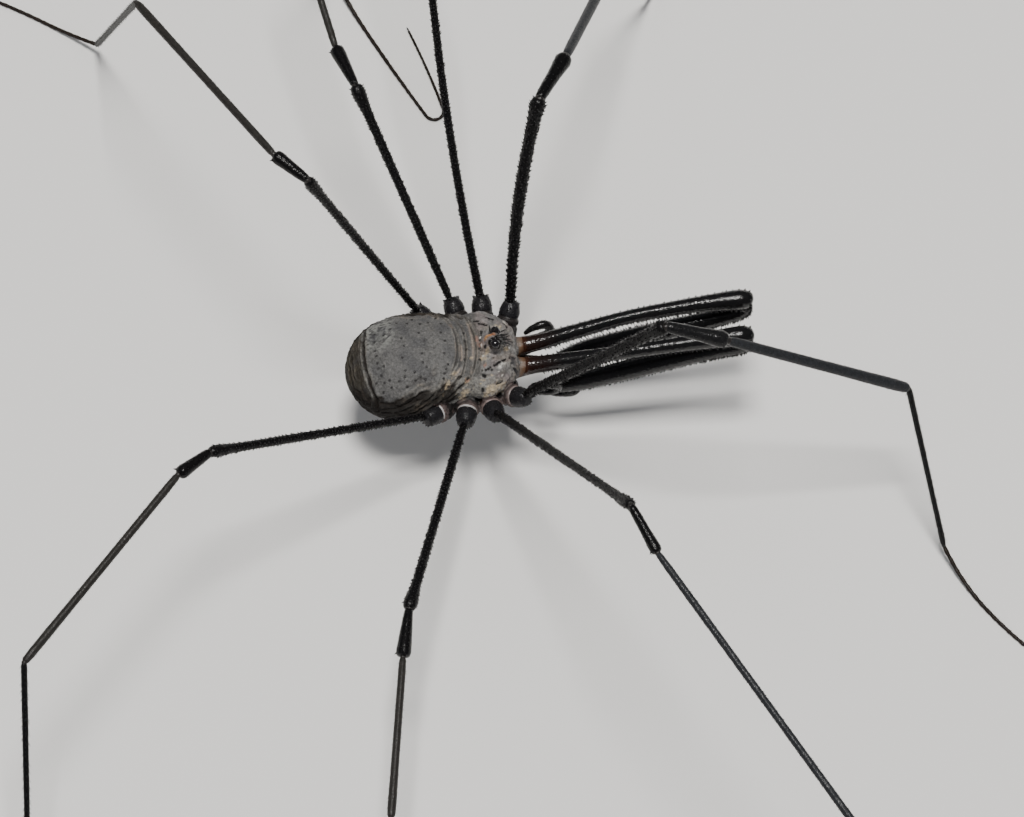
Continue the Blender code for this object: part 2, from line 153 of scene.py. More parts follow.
# How each leg bends: heading to the left and slope above level of femur, patella, tibia and
# metatarsus, which slopes down to its ankle by itself.
LEG_POSES = {
    "left_1": ((71.5, 55), (59, -11), (68, -30), (55, None)),
    "right_1": ((-15.5, 53), (-11, -17), (-4, -31), (-72, None)),
    "left_2": ((94.5, 39), (96, -8), (98, -6), (103, None)),
    "right_2": ((-68.5, 45), (-68, -8), (-62, -5), (-58, None)),
    "left_3": ((112.5, 33), (108, -4), (101, 10), (60, None)),
    "right_3": ((-109, 11), (-102, -3), (-99.5, -4), (-102, None)),
    "left_4": ((168.5, 67), (139, 14), (120, -8), (108, None)),
    "right_4": ((-158.5, 29), (-142, 10), (-131, 0), (-96, None)),
}
# How far a coxa's neck stands back from the hip, how much the thigh draws the hip round to its
# own heading, and how far that way is flattened.
NECK_SETBACK = 0.62
THIGH_PULL = 1.5
HIP_FLATNESS = 0.7
COXA_SHARES = (0.40, 0.75)
CUFF_SETBACKS = (0.53, 0.47, 0.38, 0.29, 0.26)
COXA_RADII = (0.45, 0.60, 0.60, 0.50, 0.46, 0.49, 0.515, 0.505, 0.42)
# The lobe over the mouth, under the two collars.
MOUTH_LOBE = ((1.30, 0, -0.95), (2.00, 0, -0.98), (2.75, 0, -1.02), (3.05, 0, -1.06))
MOUTH_LOBE_RADII = (0.30, 0.42, 0.36, 0.20)
SKIN_GRAIN = 0.040
EYE_SEATS = {"left": Vector((0.92, 0.335, 1.39)), "right": Vector((0.86, -0.33, 1.48))}

GREY = (0.102, 0.100, 0.098)
SKIN_ROUGHNESS = 0.52
# The fore body: mauve-grey, with painted shade in the hollows between its lumps, a painted
# highlight on the lumps, and flecks.
CARAPACE_GREY = (0.176, 0.170, 0.165)
MAUVE = (0.170, 0.140, 0.137)
HOLLOW_SHADE = (0.070, 0.067, 0.066)
LUMP_HIGHLIGHT = (0.260, 0.255, 0.240)
FLECK_PALE = (0.300, 0.290, 0.265)
FLECK_DARK = (0.030, 0.028, 0.028)
FRONT_HOLLOW_SHADE = (0.022, 0.022, 0.026)
# The back, and its rear with a speckled left corner.
PALE_GREY = (0.152, 0.150, 0.143)
REAR_GREY = (0.062, 0.061, 0.060)
REAR_PALE = (0.235, 0.240, 0.222)
REAR_BLACK = (0.020, 0.021, 0.022)
VEIN_GREY = (0.052, 0.050, 0.049)
SPECK_BROWN = (0.060, 0.055, 0.052)
SPECK_PALE = (0.185, 0.180, 0.168)
CLOUD_GREY = (0.052, 0.052, 0.056)
PLATE_GREY = (0.066, 0.062, 0.056)
# The tail behind its long seam.
TAIL_EDGE = (0.045, 0.041, 0.034)
TAIL_RIM = (0.190, 0.190, 0.182)
TAIL_BROWN = (0.0135, 0.0115, 0.0070)
TAIL_STREAK = (0.050, 0.044, 0.030)
TAIL_BLACK = (0.010, 0.008, 0.006)
# Flanks, belly, folds and slits, with the painted shade and highlight that go with them.
FLANK_DARK_AND_SHADE = (0.009, 0.0078, 0.007)
FLANK_RIDGE_HIGHLIGHT = (0.046, 0.040, 0.035)
SMUDGE_GREY = (0.036, 0.032, 0.031)
BELLY_BROWN = (0.060, 0.050, 0.042)
CREST_HIGHLIGHT = (0.215, 0.200, 0.175)
TAN = (0.200, 0.150, 0.105)
FOLD_PALE = (0.300, 0.240, 0.195)
LIP_PALE = (0.250, 0.240, 0.215)
CORNER_PALE = (0.190, 0.188, 0.178)
CREASE_SHADE = (0.016, 0.012, 0.009)
BLACK_MARK_AND_SHADE = (0.010, 0.009, 0.009)
# Patches on the back.
CREAM = (0.440, 0.350, 0.230)
PINK = (0.27, 0.135, 0.095)
WHITE = (0.56, 0.54, 0.49)
# Coxae, their cuffs, and the skin between them.
COXA_BROWN = (0.018, 0.016, 0.0155)
SOCKET_RIM = (0.080, 0.061, 0.058)
CUFF_PINK = (0.145, 0.105, 0.094)
GAP_RED = (0.130, 0.030, 0.012)
GAP_RUST = (0.210, 0.075, 0.018)
# The eye mound.
MOUND_GREY = (0.085, 0.083, 0.082)
RUST = (0.46, 0.190, 0.045)
ARC_YELLOW = (0.50, 0.30, 0.08)
ARC_RED = (0.17, 0.065, 0.055)
UNDER_EYE_LIGHT = (0.300, 0.285, 0.275)


def loft(rings):
    """A closed skin through rings of points, drawn out ring by ring from one cap."""
    bm = bmesh.new()
    bmesh.ops.create_circle(bm, cap_ends=True, segments=len(rings[0]), radius=1)
    bm.faces.ensure_lookup_table()
    cap = bm.faces[0]
    for vertex, point in zip(cap.verts, rings[0]):
        vertex.co = point
    for points in rings[1:]:
        cap = bmesh.ops.extrude_discrete_faces(bm, faces=[cap])["faces"][0]
        for vertex, point in zip(cap.verts, points):
            vertex.co = point
    bmesh.ops.holes_fill(bm, edges=[edge for edge in bm.edges if edge.is_boundary])
    bmesh.ops.recalc_face_normals(bm, faces=bm.faces)
    return bm


def new_piece(name, bm):
    """An object with the mesh, still in millimetres."""
    mesh = bpy.data.meshes.new(name)
    bm.to_mesh(mesh)
    bm.free()
    piece = bpy.data.objects.new(name, mesh)
    bpy.context.scene.collection.objects.link(piece)
    return piece


def settle(piece):
    """Leaves the piece as its modifiers show it, with none left on it."""
    graph = bpy.context.evaluated_depsgraph_get()
    mesh = bpy.data.meshes.new_from_object(piece.evaluated_get(graph))
    piece.modifiers.clear()
    piece.data = mesh
    return piece


def rounder(piece, levels):
    soft = piece.modifiers.new("rounder", "SUBSURF")
    soft.levels = levels
    soft.render_levels = levels
    return settle(piece)


def fused(name, pieces, grain):
    """One skin over all the pieces, on a net of squares of the given size."""
    bm = bmesh.new()
    for piece in pieces:
        bm.from_mesh(piece.data)
        bpy.data.objects.remove(piece, do_unlink=True)
    skin = new_piece(name, bm)
    net = skin.modifiers.new("net", "REMESH")
    net.mode = "VOXEL"
    net.voxel_size = grain
    even = skin.modifiers.new("even", "SMOOTH")
    even.factor = 0.5
    even.iterations = 6
    return settle(skin)


def body_ring(x, half_width, top, bottom, widest, sides=24, fullness=0.88):
    """A ring across the body; a lower fullness makes it squarer."""
    points = []
    for index in range(sides):
        angle = 2 * math.pi * (index + 0.5) / sides
        out = math.copysign(abs(math.cos(angle)) ** fullness, math.cos(angle))
        rise = math.copysign(abs(math.sin(angle)) ** fullness, math.sin(angle))
        height = top - widest if rise > 0 else widest - bottom
        points.append(Vector((x, half_width * out, widest + height * rise)))
    return points


def shield_ring(x, half_width, top, rim):
    """A dome over a thin lip, with the underside tucked in."""
    points = []
    for index in range(17):
        angle = math.pi * index / 16
        rise = math.sin(angle) ** 0.85
        points.append(Vector((x, half_width * math.cos(angle), rim + (top - rim) * rise)))
    for share, drop in SHIELD_UNDERSIDE:
        points.append(Vector((x, half_width * share, rim - drop)))
    return points


def on_side(point, side):
    return Vector((point[0], point[1] * side, point[2]))


def ways_along(path):
    """The way on at each point of a path, halfway between the runs on its two sides."""
    runs = [(b - a).normalized() for a, b in zip(path, path[1:])]
    return [runs[0]] + [(a + b).normalized() for a, b in zip(runs, runs[1:])] + [runs[-1]]


def bar(path, radii, across=None, sides=16, flatten=1.0):
    """A rounded bar of changing thickness along a path."""
    path = [Vector(point) for point in path]
    rings = []
    for centre, way, radius in zip(path, ways_along(path), radii):
        reference = UP.cross(way) if across is None else across
        side = (reference - way * reference.dot(way)).normalized()
        rise = way.cross(side)
        ring = []
        for index in range(sides):
            angle = 2 * math.pi * (index + 0.5) / sides
            offset = side * math.cos(angle) + rise * math.sin(angle) * flatten
            ring.append(centre + offset * radius)
        rings.append(ring)
    return loft(rings)


def heading(azimuth, slope=0.0):
    """The way that points so many degrees to the left of the head, and so many above level."""
    azimuth = math.radians(azimuth)
    slope = math.radians(slope)
    run = math.cos(slope)
    return Vector((run * math.cos(azimuth), run * math.sin(azimuth), math.sin(slope)))


def hip_joint(leg):
    """Where a coxa starts under the body, its hip, and the way its trochanter points: between
    the coxa and the thigh."""
    word, number = leg.split("_")
    root = on_side(COXA_ROOTS[int(number)], SIDES[word])
    hip = on_side(HIPS[int(number)], SIDES[word])
    way = (hip - root).normalized() + heading(*LEG_POSES[leg][0]) * THIGH_PULL
    way.z *= HIP_FLATNESS
    return root, hip, way.normalized()


body_forms = [
    rounder(new_piece("abdomen_form", loft([body_ring(*row) for row in ABDOMEN])), 2),
    rounder(new_piece("shield_form", loft([shield_ring(*row) for row in SHIELD])), 2),
    rounder(new_piece("belly_form", loft([body_ring(*row) for row in BELLY_PLATE])), 2),
]
mound_rings = [
    body_ring(place, half_width, top, MOUND_FOOT, MOUND_WIDEST, sides=16, fullness=1.0)
    for place, half_width, top in EYE_MOUND
]
body_forms.append(rounder(new_piece("mound_form", loft(mound_rings)), 2))
for leg in LEG_POSES:
    root, hip, outward = hip_joint(leg)
    neck = hip - outward * NECK_SETBACK
    path = [root, *(root.lerp(neck, share) for share in COXA_SHARES), neck]
    path += [hip - outward * setback for setback in CUFF_SETBACKS]
    body_forms.append(rounder(new_piece("coxa_form_" + leg, bar(path, COXA_RADII)), 2))
lobe = bar(MOUTH_LOBE, MOUTH_LOBE_RADII, across=LEFTWARD, flatten=0.6)
body_forms.append(rounder(new_piece("mouth_lobe_form", lobe), 2))
body = fused("body_skin", body_forms, SKIN_GRAIN)


def read_points(piece):
    points = np.zeros(len(piece.data.vertices) * 3)
    piece.data.vertices.foreach_get("co", points)
    return points.reshape(-1, 3)


def read_normals(piece):
    normals = np.zeros(len(piece.data.vertices) * 3)
    piece.data.vertex_normals.foreach_get("vector", normals)
    return normals.reshape(-1, 3)


def write_points(piece, points):
    piece.data.vertices.foreach_set("co", points.ravel())
    piece.data.update()


def grainy(points, spacing, seed=0.0):
    """A smooth random value from -1 to 1 at each point, changing over the given spacing."""
    spots = points / np.array(spacing) + seed
    return np.array([noise.noise(Vector(spot)) for spot in spots])


def bell(distance, width):
    return np.exp(-((distance / width) ** 2))


def ramp(value, start, end):
    share = np.clip((value - start) / (end - start), 0, 1)
    return share * share * (3 - 2 * share)


points = read_points(body)
normals = read_normals(body)
x, y, z = points.T
across = np.abs(y)

# Places on the body: the back, the wrinkled flanks, the coxae and the cuffs at their ends.
FAR = 9.0
COXA_GIRTH = 0.75
CUFF_GIRTH = 0.62
back = ramp(normals[:, 2], 0.05, 0.45)
abdomen_part = 1 - ramp(x, -0.95, -0.70)
flank_line = np.clip(0.22 + 0.25 * (x + 4.2), -0.1, 0.66)
ragged = 0.22 * grainy(points, (0.55, 0.30, 0.30), 4.0) + 0.10 * grainy(points, 0.14, 6.0)
flank = 1 - ramp(z + ragged, flank_line - 0.10, flank_line + 0.12)
flank = flank * abdomen_part * ramp(across, 0.6, 1.2)
hip_reach = np.full(len(points), FAR)
hip_along = np.zeros(len(points))
cuff_along = np.full(len(points), -FAR)
for leg in LEG_POSES:
    root, hip, outward = (np.array(part) for part in hip_joint(leg))
    neck = hip - outward * NECK_SETBACK
    way = (neck - root) / np.linalg.norm(neck - root)
    offset = points - root
    along = offset @ way
    away = np.linalg.norm(offset - np.outer(along, way), axis=1)
    share = along / np.linalg.norm(neck - root)
    inside = (away < COXA_GIRTH) & (share > 0.40) & (share < 1.5) & (away < hip_reach)
    hip_reach[inside] = away[inside]
    hip_along[inside] = share[inside]
    beyond = (points - hip) @ outward
    around = np.linalg.norm(points - hip - np.outer(beyond, outward), axis=1)
    near_cuff = (around < CUFF_GIRTH) & (beyond > -CUFF_GIRTH) & (beyond < 0)
    cuff_along[near_cuff] = beyond[near_cuff]
beyond_lip = across - np.interp(x, [row[0] for row in SHIELD], [row[1] for row in SHIELD])
beside_lip = ramp(beyond_lip, 0.02, 0.08) * ramp(x, -1.2, -1.0)
below_lip = np.maximum(ramp(-0.16 - z, 0.0, 0.06), beside_lip)
cuff = ramp(cuff_along, -0.58, -0.53)
coxa_part = np.maximum(ramp(hip_along, 0.50, 0.56), ramp(cuff_along, -0.62, -0.58)) * below_lip
plain_part = 1 - coxa_part


def line_reach(line, axes=3):
    """How far each point of the skin is from a line; with two axes, as seen from above."""
    line = np.array(line, float)[:, :axes]
    spots = points[:, :axes]
    nearest = np.full(len(points), FAR)
    for a, b in zip(line, line[1:]):
        run = b - a
        share = np.clip((spots - a) @ run / (run @ run), 0, 1)
        nearest = np.minimum(nearest, np.linalg.norm(spots - a - share[:, None] * run, axis=1))
    return nearest if axes == 3 else nearest + FAR * (z < 0)


# Folds: lines followed by the depth of the crease, how wide it is, and how far its sides bulge.
BACK_FOLDS = (
    (((-1.40, 1.62, 0.60), (-1.04, 1.38, 0.75), (-0.81, 0.90, 0.94), (-0.71, 0.42, 1.02),
      (-0.70, -0.02, 1.05), (-0.74, -0.49, 1.01), (-0.86, -0.86, 0.95), (-1.05, -1.16, 0.86)),
      0.085, 0.036, 0.55),
    (((-0.95, 1.66, 0.55), (-0.75, 1.50, 0.70), (-0.46, 0.95, 0.90), (-0.36, 0.47, 0.99),
      (-0.35, -0.04, 1.02), (-0.39, -0.51, 0.98), (-0.50, -0.95, 0.90), (-0.61, -1.24, 0.81),
      (-0.77, -1.45, 0.73)), 0.042, 0.026, 0.6),
    (((-0.50, 1.66, 0.50), (-0.22, 1.46, 0.69), (-0.06, 0.91, 0.91), (0.05, 0.43, 0.99),
      (0.09, -0.08, 1.01), (0.03, -0.61, 0.97), (-0.10, -1.03, 0.87), (-0.28, -1.40, 0.72)), 0.052,
      0.028, 0.7),
    (((-0.24, 1.56, 0.60), (-0.06, 1.30, 0.78), (0.13, 1.04, 0.88), (0.27, 0.55, 0.98),
      (0.31, 0.04, 1.08), (0.29, -0.44, 0.99), (0.20, -0.89, 0.92), (0.05, -1.29, 0.79)), 0.034,
      0.030, 0.3),
)
SIDE_FOLDS = (
    (((-0.37, -1.42, 0.72), (-0.50, -1.57, 0.63), (-0.78, -1.74, 0.53), (-1.12, -1.87, 0.27),
      (-1.52, -2.01, 0.12), (-1.95, -2.15, -0.09), (-2.27, -2.22, -0.24)), 0.12, 0.050, 0.35),
    (((-0.76, -1.35, 0.78), (-1.02, -1.60, 0.62), (-1.26, -1.74, 0.44), (-1.46, -1.91, 0.27),
      (-1.66, -2.03, 0.11)), 0.060, 0.035, 0.5),
    (((-1.41, -1.42, 0.74), (-1.58, -1.56, 0.66), (-1.76, -1.70, 0.56), (-1.93, -1.83, 0.45),
      (-2.15, -1.98, 0.29), (-2.43, -2.08, 0.15), (-2.67, -2.14, 0.03)), 0.080, 0.042, 0.6),
    (((-1.92, -1.53, 0.72), (-2.20, -1.59, 0.69), (-2.47, -1.63, 0.67), (-2.69, -1.76, 0.56),
      (-3.04, -1.84, 0.45), (-3.38, -1.96, 0.25)), 0.085, 0.055, 0.5),
    (((-1.79, -1.65, 0.61), (-2.13, -1.82, 0.48), (-2.42, -1.97, 0.32), (-2.78, -2.10, 0.11),
      (-3.13, -2.16, -0.05), (-3.52, -2.16, -0.21)), 0.075, 0.042, 0.6),
    (((-1.30, -1.67, 0.51), (-1.52, -1.83, 0.38), (-1.88, -1.98, 0.24), (-2.17, -2.12, 0.04),
      (-2.59, -2.21, -0.15), (-2.98, -2.26, -0.38), (-3.37, -2.23, -0.41)), 0.080, 0.042, 0.6),
    (((-4.19, -1.70, 0.18), (-3.81, -1.80, 0.29), (-3.43, -1.83, 0.40), (-3.03, -1.73, 0.56)),
      0.070, 0.045, 0.1),
    (((-4.61, -1.64, -0.25), (-4.21, -1.86, -0.09), (-3.89, -1.89, 0.14), (-3.57, -1.89, 0.28),
      (-3.09, -1.91, 0.36)), 0.070, 0.040, 0.2),
    (((-1.67, -0.88, 1.03), (-1.74, -1.01, 0.99), (-1.78, -1.15, 0.93)), 0.035, 0.045, 0.2),
    (((1.50, -0.85, 0.55), (1.52, -1.10, 0.42), (1.55, -1.35, 0.28), (1.62, -1.55, 0.12)), 0.080,
      0.050, 0.5),
    (((1.70, -0.50, 0.45), (1.77, -0.75, 0.30), (1.80, -1.00, 0.18), (1.76, -1.20, 0.08)), 0.070,
      0.045, 0.4),
)
# Short black slits, as seen from above: line, depth, width.
SLITS = (
    (((0.12, 1.20), (0.30, 1.19)), 0.06, 0.030), (((0.32, 1.07), (0.63, 0.94)), 0.06, 0.030),
    (((0.65, 1.39), (0.94, 1.33)), 0.06, 0.028), (((1.36, 1.16), (1.50, 1.00)), 0.04, 0.022),
    (((1.25, -0.69), (1.10, -0.78)), 0.05, 0.022), (((1.03, -0.83), (0.90, -0.885)), 0.05, 0.024),
    (((0.88, -0.92), (0.76, -0.97)), 0.06, 0.028),
    (((0.77, -1.66), (0.90, -1.61), (1.05, -1.53)), 0.04, 0.018),
)
# Folds round the tail: place, bow, depth, width, and how far they fade in places.
TAIL_FOLDS = (
    (-4.61, 0.092, 0.120, 0.052, 0.2), (-4.80, 0.100, 0.060, 0.034, 0.7),
    (-4.90, 0.105, 0.060, 0.040, 0.7), (-5.00, 0.12, 0.050, 0.034, 0.7),
    (-5.12, 0.14, 0.045, 0.030, 0.7), (-5.26, 0.20, 0.045, 0.032, 0.7),
)
TAIL_BULGE = 0.5
# Pale lines between the folds of the back.
PALE_LINES = (
    ((-0.92, 1.08, 0.89), (-0.57, 0.49, 1.00), (-0.54, 0.04, 1.03), (-0.55, -0.50, 0.99),
     (-0.65, -0.94, 0.92), (-0.87, -1.28, 0.81)),
    ((-0.14, 1.04, 0.88), (-0.05, 0.31, 1.00), (-0.05, -0.20, 1.01), (-0.09, -0.55, 0.97),
     (-0.24, -1.24, 0.78)),
)
height = np.zeros(len(points))
groove_shade = np.zeros(len(points))
crest = np.zeros(len(points))
waver = np.clip(1 + 0.75 * grainy(points, 0.40, 3.0), 0.2, 1.8)


def press(reach, depth, width, bulge, share):
    """Presses a crease into the skin, with its two sides bulging a little, and marks the crease for
    painted shade and the crests beside it.
    """
    global height, groove_shade, crest
    height -= share * depth * waver * bell(reach, width)
    height += share * depth * bulge * bell(reach - width * 2.3, width * 1.5)
    dark = np.clip(depth * waver / 0.06, 0, 1)
    groove_shade = np.maximum(groove_shade, share * dark * bell(reach, width * 1.05))
    crest = np.maximum(crest, share * bulge * bell(reach - width * 2.2, width * 0.8))


sway = 0.035 * grainy(points, 0.45, 5.0)
for line, depth, width, bulge in BACK_FOLDS:
    press(np.abs(line_reach(line) + sway * 0.4), depth, width, bulge, plain_part)
for line, depth, width in SLITS:
    press(line_reach(line, 2), depth, width, 0, 1)
for line, depth, width, bulge in SIDE_FOLDS:
    for side in SIDES.values():
        reach = line_reach([(px, -py * side, pz) for px, py, pz in line])
        press(np.abs(reach + sway), depth, width, bulge, plain_part)
tail_sway = 0.09 * grainy(points, 0.6, 7.0)
tail_quiver = 0.04 * grainy(points, 0.2, 8.0)
for place, bow, depth, width, fading in TAIL_FOLDS:
    ahead = x - (place + bow * y * y - 0.02 * y) + tail_sway + tail_quiver
    broken = ramp(grainy(points, 0.5, 9.0 + place), 0.0, 0.5)
    share = (1 - fading * broken) * (1 - 0.8 * ramp(y, 1.1, 1.6))
    press(np.abs(ahead), depth, width, TAIL_BULGE, share * ramp(z, -0.8, -0.1))

# Finer wrinkles down the flanks run backward from the hips, steep at first, then level.
slanted = points.copy()
slanted[:, 2] -= 0.10 * x + 0.13 * (x + 4.2) ** 2
coarse = 1 - np.abs(grainy(slanted, (0.9, 0.40, 0.24), 11.0))
fine = 1 - np.abs(grainy(slanted, (0.42, 0.20, 0.10), 19.0))
wrinkle = flank * (0.60 * coarse ** 8 + 0.50 * fine ** 7)
height -= 0.13 * wrinkle
height += 0.040 * flank
groove_shade = np.maximum(groove_shade, np.clip(wrinkle * 1.3, 0, 1))

# The carapace is lumpy and pitted, the back of the abdomen finely veined and almost flat.
front = ramp(x, 0.0, 0.3) * plain_part
veins = (1 - np.abs(grainy(points, 0.24, 29.0))) ** 4
lumps = 0.6 * grainy(points, 0.36, 23.0) + 0.4 * grainy(points, 0.15, 24.0)
height += 0.130 * front * lumps
height += (1 - flank) * (1 - front) * (0.018 * grainy(points, 0.20, 30.0) - 0.014 * veins)
height += 0.035 * abdomen_part * back * grainy(points, 1.3, 31.0)
height += 0.014 * grainy(points, 0.085, 33.0) * (0.5 + front)
height += 0.022 * coxa_part * grainy(points, 0.13, 37.0) * (1 - cuff)
height -= 0.040 * bell(cuff_along + 0.54, 0.035)
# Pits in the carapace: place and size.
PITS = (
    (0.25, -1.37, 0.065), (0.32, -1.41, 0.065), (0.24, -1.18, 0.045), (0.38, -1.17, 0.050),
    (0.51, -1.12, 0.060), (0.64, -1.16, 0.060), (0.59, -1.06, 0.045), (0.77, -0.66, 0.035),
    (0.18, -1.87, 0.065), (1.44, -0.58, 0.040), (0.26, 0.18, 0.030), (0.26, -0.02, 0.028),
    (0.26, -0.33, 0.025), (0.17, -0.70, 0.030), (0.38, 0.62, 0.065), (0.35, 0.41, 0.050),
    (0.44, -0.26, 0.055), (1.61, -0.99, 0.080), (0.36, 0.52, 0.050),
)
pit = np.zeros(len(points))
for px, py, size in PITS:
    pit = np.maximum(pit, bell(np.hypot(x - px, y - py), size) * (z > 0) * plain_part)
height -= 0.045 * pit
points += normals * height[:, None]
write_points(body, points)

# Its colours: each point of the skin carries a colour, and how rough it is there.
tint = np.tile((*GREY, SKIN_ROUGHNESS), (len(points), 1))


def stain(colour, share, rough=None, layer=tint):
    """Draws a skin's colours toward another one, by a share from 0 to 1 at each point."""
    layer[:, :3] += (np.array(colour) - layer[:, :3]) * share[:, None]
    if rough is not None:
        layer[:, 3] += (rough - layer[:, 3]) * share


def patch(place, length, width, turn=0.0, ragged=0.5):
    """A soft-edged spot on the back, with an uneven outline."""
    away_x = x - place[0]
    away_y = y - place[1]
    turn = math.radians(turn)
    along = (away_x * math.cos(turn) + away_y * math.sin(turn)) / length
    beside = (away_y * math.cos(turn) - away_x * math.sin(turn)) / width
    size = np.sqrt(along ** 2 + beside ** 2) * (1 + ragged * spot_noise)
    return (1 - ramp(size, 0.45, 1.30)) * (z > -0.6) * plain_part


spot_noise = grainy(points, 0.11, 41.0) + 0.6 * grainy(points, 0.05, 42.0)
mottle = grainy(points, 0.42, 43.0)
speckle = grainy(points, 0.11, 45.0)
fleck = 0.6 * grainy(points, 0.065, 44.0) + 0.4 * grainy(points, 0.16, 46.0)
cloud = grainy(points, 1.4, 47.0)
stain(CARAPACE_GREY, 0.90 * front * ramp(z, -0.4, 0.2))
stain(MAUVE, 0.65 * front * ramp(grainy(points, 0.55, 60.0), -0.1, 0.30))
# Painted shade in the hollows of the carapace, and a painted highlight on its lumps.
stain(HOLLOW_SHADE, 0.40 * front * ramp(-lumps, 0.05, 0.45))
stain(LUMP_HIGHLIGHT, 0.45 * front * ramp(lumps, 0.12, 0.45))
stain(PALE_GREY, 0.55 * ramp(cloud, -0.1, 0.5) * abdomen_part)
stain(REAR_GREY, 0.45 * (1 - ramp(x, -4.2, -3.2)) * ramp(-mottle, -0.2, 0.3) * abdomen_part)
rear_left = (1 - ramp(x, -3.7, -2.9)) * ramp(y, -0.1, 0.8) * abdomen_part
rear_specks = grainy(points, (0.17, 0.10, 0.12), 65.0)
stain(REAR_PALE, 0.80 * rear_left * ramp(rear_specks, -0.05, 0.15))
stain(REAR_BLACK, 0.75 * rear_left * ramp(-rear_specks, 0.20, 0.34))
stain(VEIN_GREY, 0.55 * ramp(veins, 0.35, 0.9) * (1 - front) * (1 - flank) * ramp(cloud, -0.3, 0.3))
stain(SPECK_BROWN, 0.55 * ramp(speckle, 0.15, 0.6) * (0.2 + 0.3 * front))
stain(SPECK_PALE, 0.40 * ramp(-speckle, 0.2, 0.6))
stain(FLECK_PALE, 0.25 * ramp(fleck, 0.30, 0.50) * front)
stain(FLECK_DARK, 0.30 * ramp(-fleck, 0.28, 0.45) * front)

# The tail is brown-black and streaked behind a paler edge.
tail_place = x - 0.10 * y * y + 0.02 * y + 0.05 * grainy(points, 0.3, 49.0)
tail = 1 - ramp(tail_place, -4.88, -4.80)
stain(TAIL_EDGE, 0.80 * (1 - ramp(tail_place, -4.70, -4.66)))
stain(TAIL_RIM, 0.85 * bell(tail_place + 4.71, 0.036) * ramp(spot_noise, -0.7, 0.1))
stain(TAIL_BROWN, 0.95 * tail, 0.78)
stain(TAIL_STREAK, 0.55 * tail * ramp(grainy(points, (0.05, 0.5, 0.3), 50.0), 0.10, 0.35))
dark_streaks = ramp(grainy(points, (0.07, 0.45, 0.3), 52.0), 0.12, 0.32)
stain(TAIL_BLACK, 0.85 * (1 - ramp(tail_place, -4.78, -4.74)) * dark_streaks)

# The flanks are darker, partly their own dark skin and partly painted shade, with a painted
# highlight on the ridges between their wrinkles. The belly is darker, and the crests beside the
# folds get a painted highlight.
stain(FLANK_DARK_AND_SHADE, 0.95 * flank, 0.72)
stain(FLANK_RIDGE_HIGHLIGHT, 0.75 * flank * ramp(1 - coarse, 0.30, 0.60) * ramp(mottle, -0.3, 0.3))
stain(BELLY_BROWN, 0.85 * (1 - ramp(normals[:, 2], -0.5, -0.1)))
stain(TAN, 0.25 * ramp(mottle, 0.0, 0.6) * front)
# Painted highlight on the crests beside the folds.
behind = ramp(x, -3.6, -2.6) + (across < 1.2)
stain(CREST_HIGHLIGHT, 0.85 * crest * np.clip(behind, 0.2, 1) * (1 - 0.75 * flank) * (1 - 0.5 * tail))
tan_crest = 0.60 * crest * np.clip(behind, 0, 1) * ramp(mottle, 0.0, 0.4)
stain(TAN, tan_crest * (1 - 0.5 * flank) * (1 - 0.6 * tail))
stain(CLOUD_GREY, 0.50 * ramp(grainy(points, 0.75, 48.0), 0.0, 0.4) * (1 - front) * (1 - flank))
plates = 0.50 * ramp(x, -0.75, -0.55) * (1 - ramp(x, 0.15, 0.35))
stain(PLATE_GREY, plates * ramp(grainy(points, (0.10, 0.6, 0.6), 54.0), -0.35, 0.1))
for line in PALE_LINES:
    stain(FOLD_PALE, 0.80 * bell(line_reach(line), 0.042) * ramp(mottle, -0.4, 0.0))
seam = 0.97 * bell(tail_place + 4.61, 0.072) * ramp(grainy(points, 0.45, 57.0), -0.55, -0.20)
stain(BLACK_MARK_AND_SHADE, seam * (1 - flank), 0.85)
seam = 0.75 * bell(tail_place + 4.79, 0.030) * ramp(grainy(points, 0.40, 58.0), -0.25, 0.10)
stain(BLACK_MARK_AND_SHADE, seam)
smudge = 0.60 * patch((-2.35, -1.38), 0.60, 0.17, 14, 0.9)
stain(SMUDGE_GREY, smudge * ramp(grainy(slanted, (0.5, 0.14, 0.14), 62.0), -0.35, 0.15))
lip = ramp(-y, 1.30, 1.50) * ramp(x, -1.1, -0.7) * (1 - ramp(x, 1.0, 1.3)) * ramp(z, 0.0, 0.15)
stain(LIP_PALE, 0.70 * lip * ramp(fleck, -0.35, 0.15))
# Painted shade in the creases of the folds, slits and wrinkles.
stain(CREASE_SHADE, 0.92 * np.clip(groove_shade, 0, 1) ** 1.1)
corner = np.exp(-((x + 1.00) / 0.36) ** 2 - ((z + 0.06 - 0.25 * (x + 1.0)) / 0.11) ** 2)
corner = corner * (across > 1.7) * plain_part
stain(CORNER_PALE, 0.90 * ramp(corner * (1 + 0.5 * fleck), 0.30, 0.60))

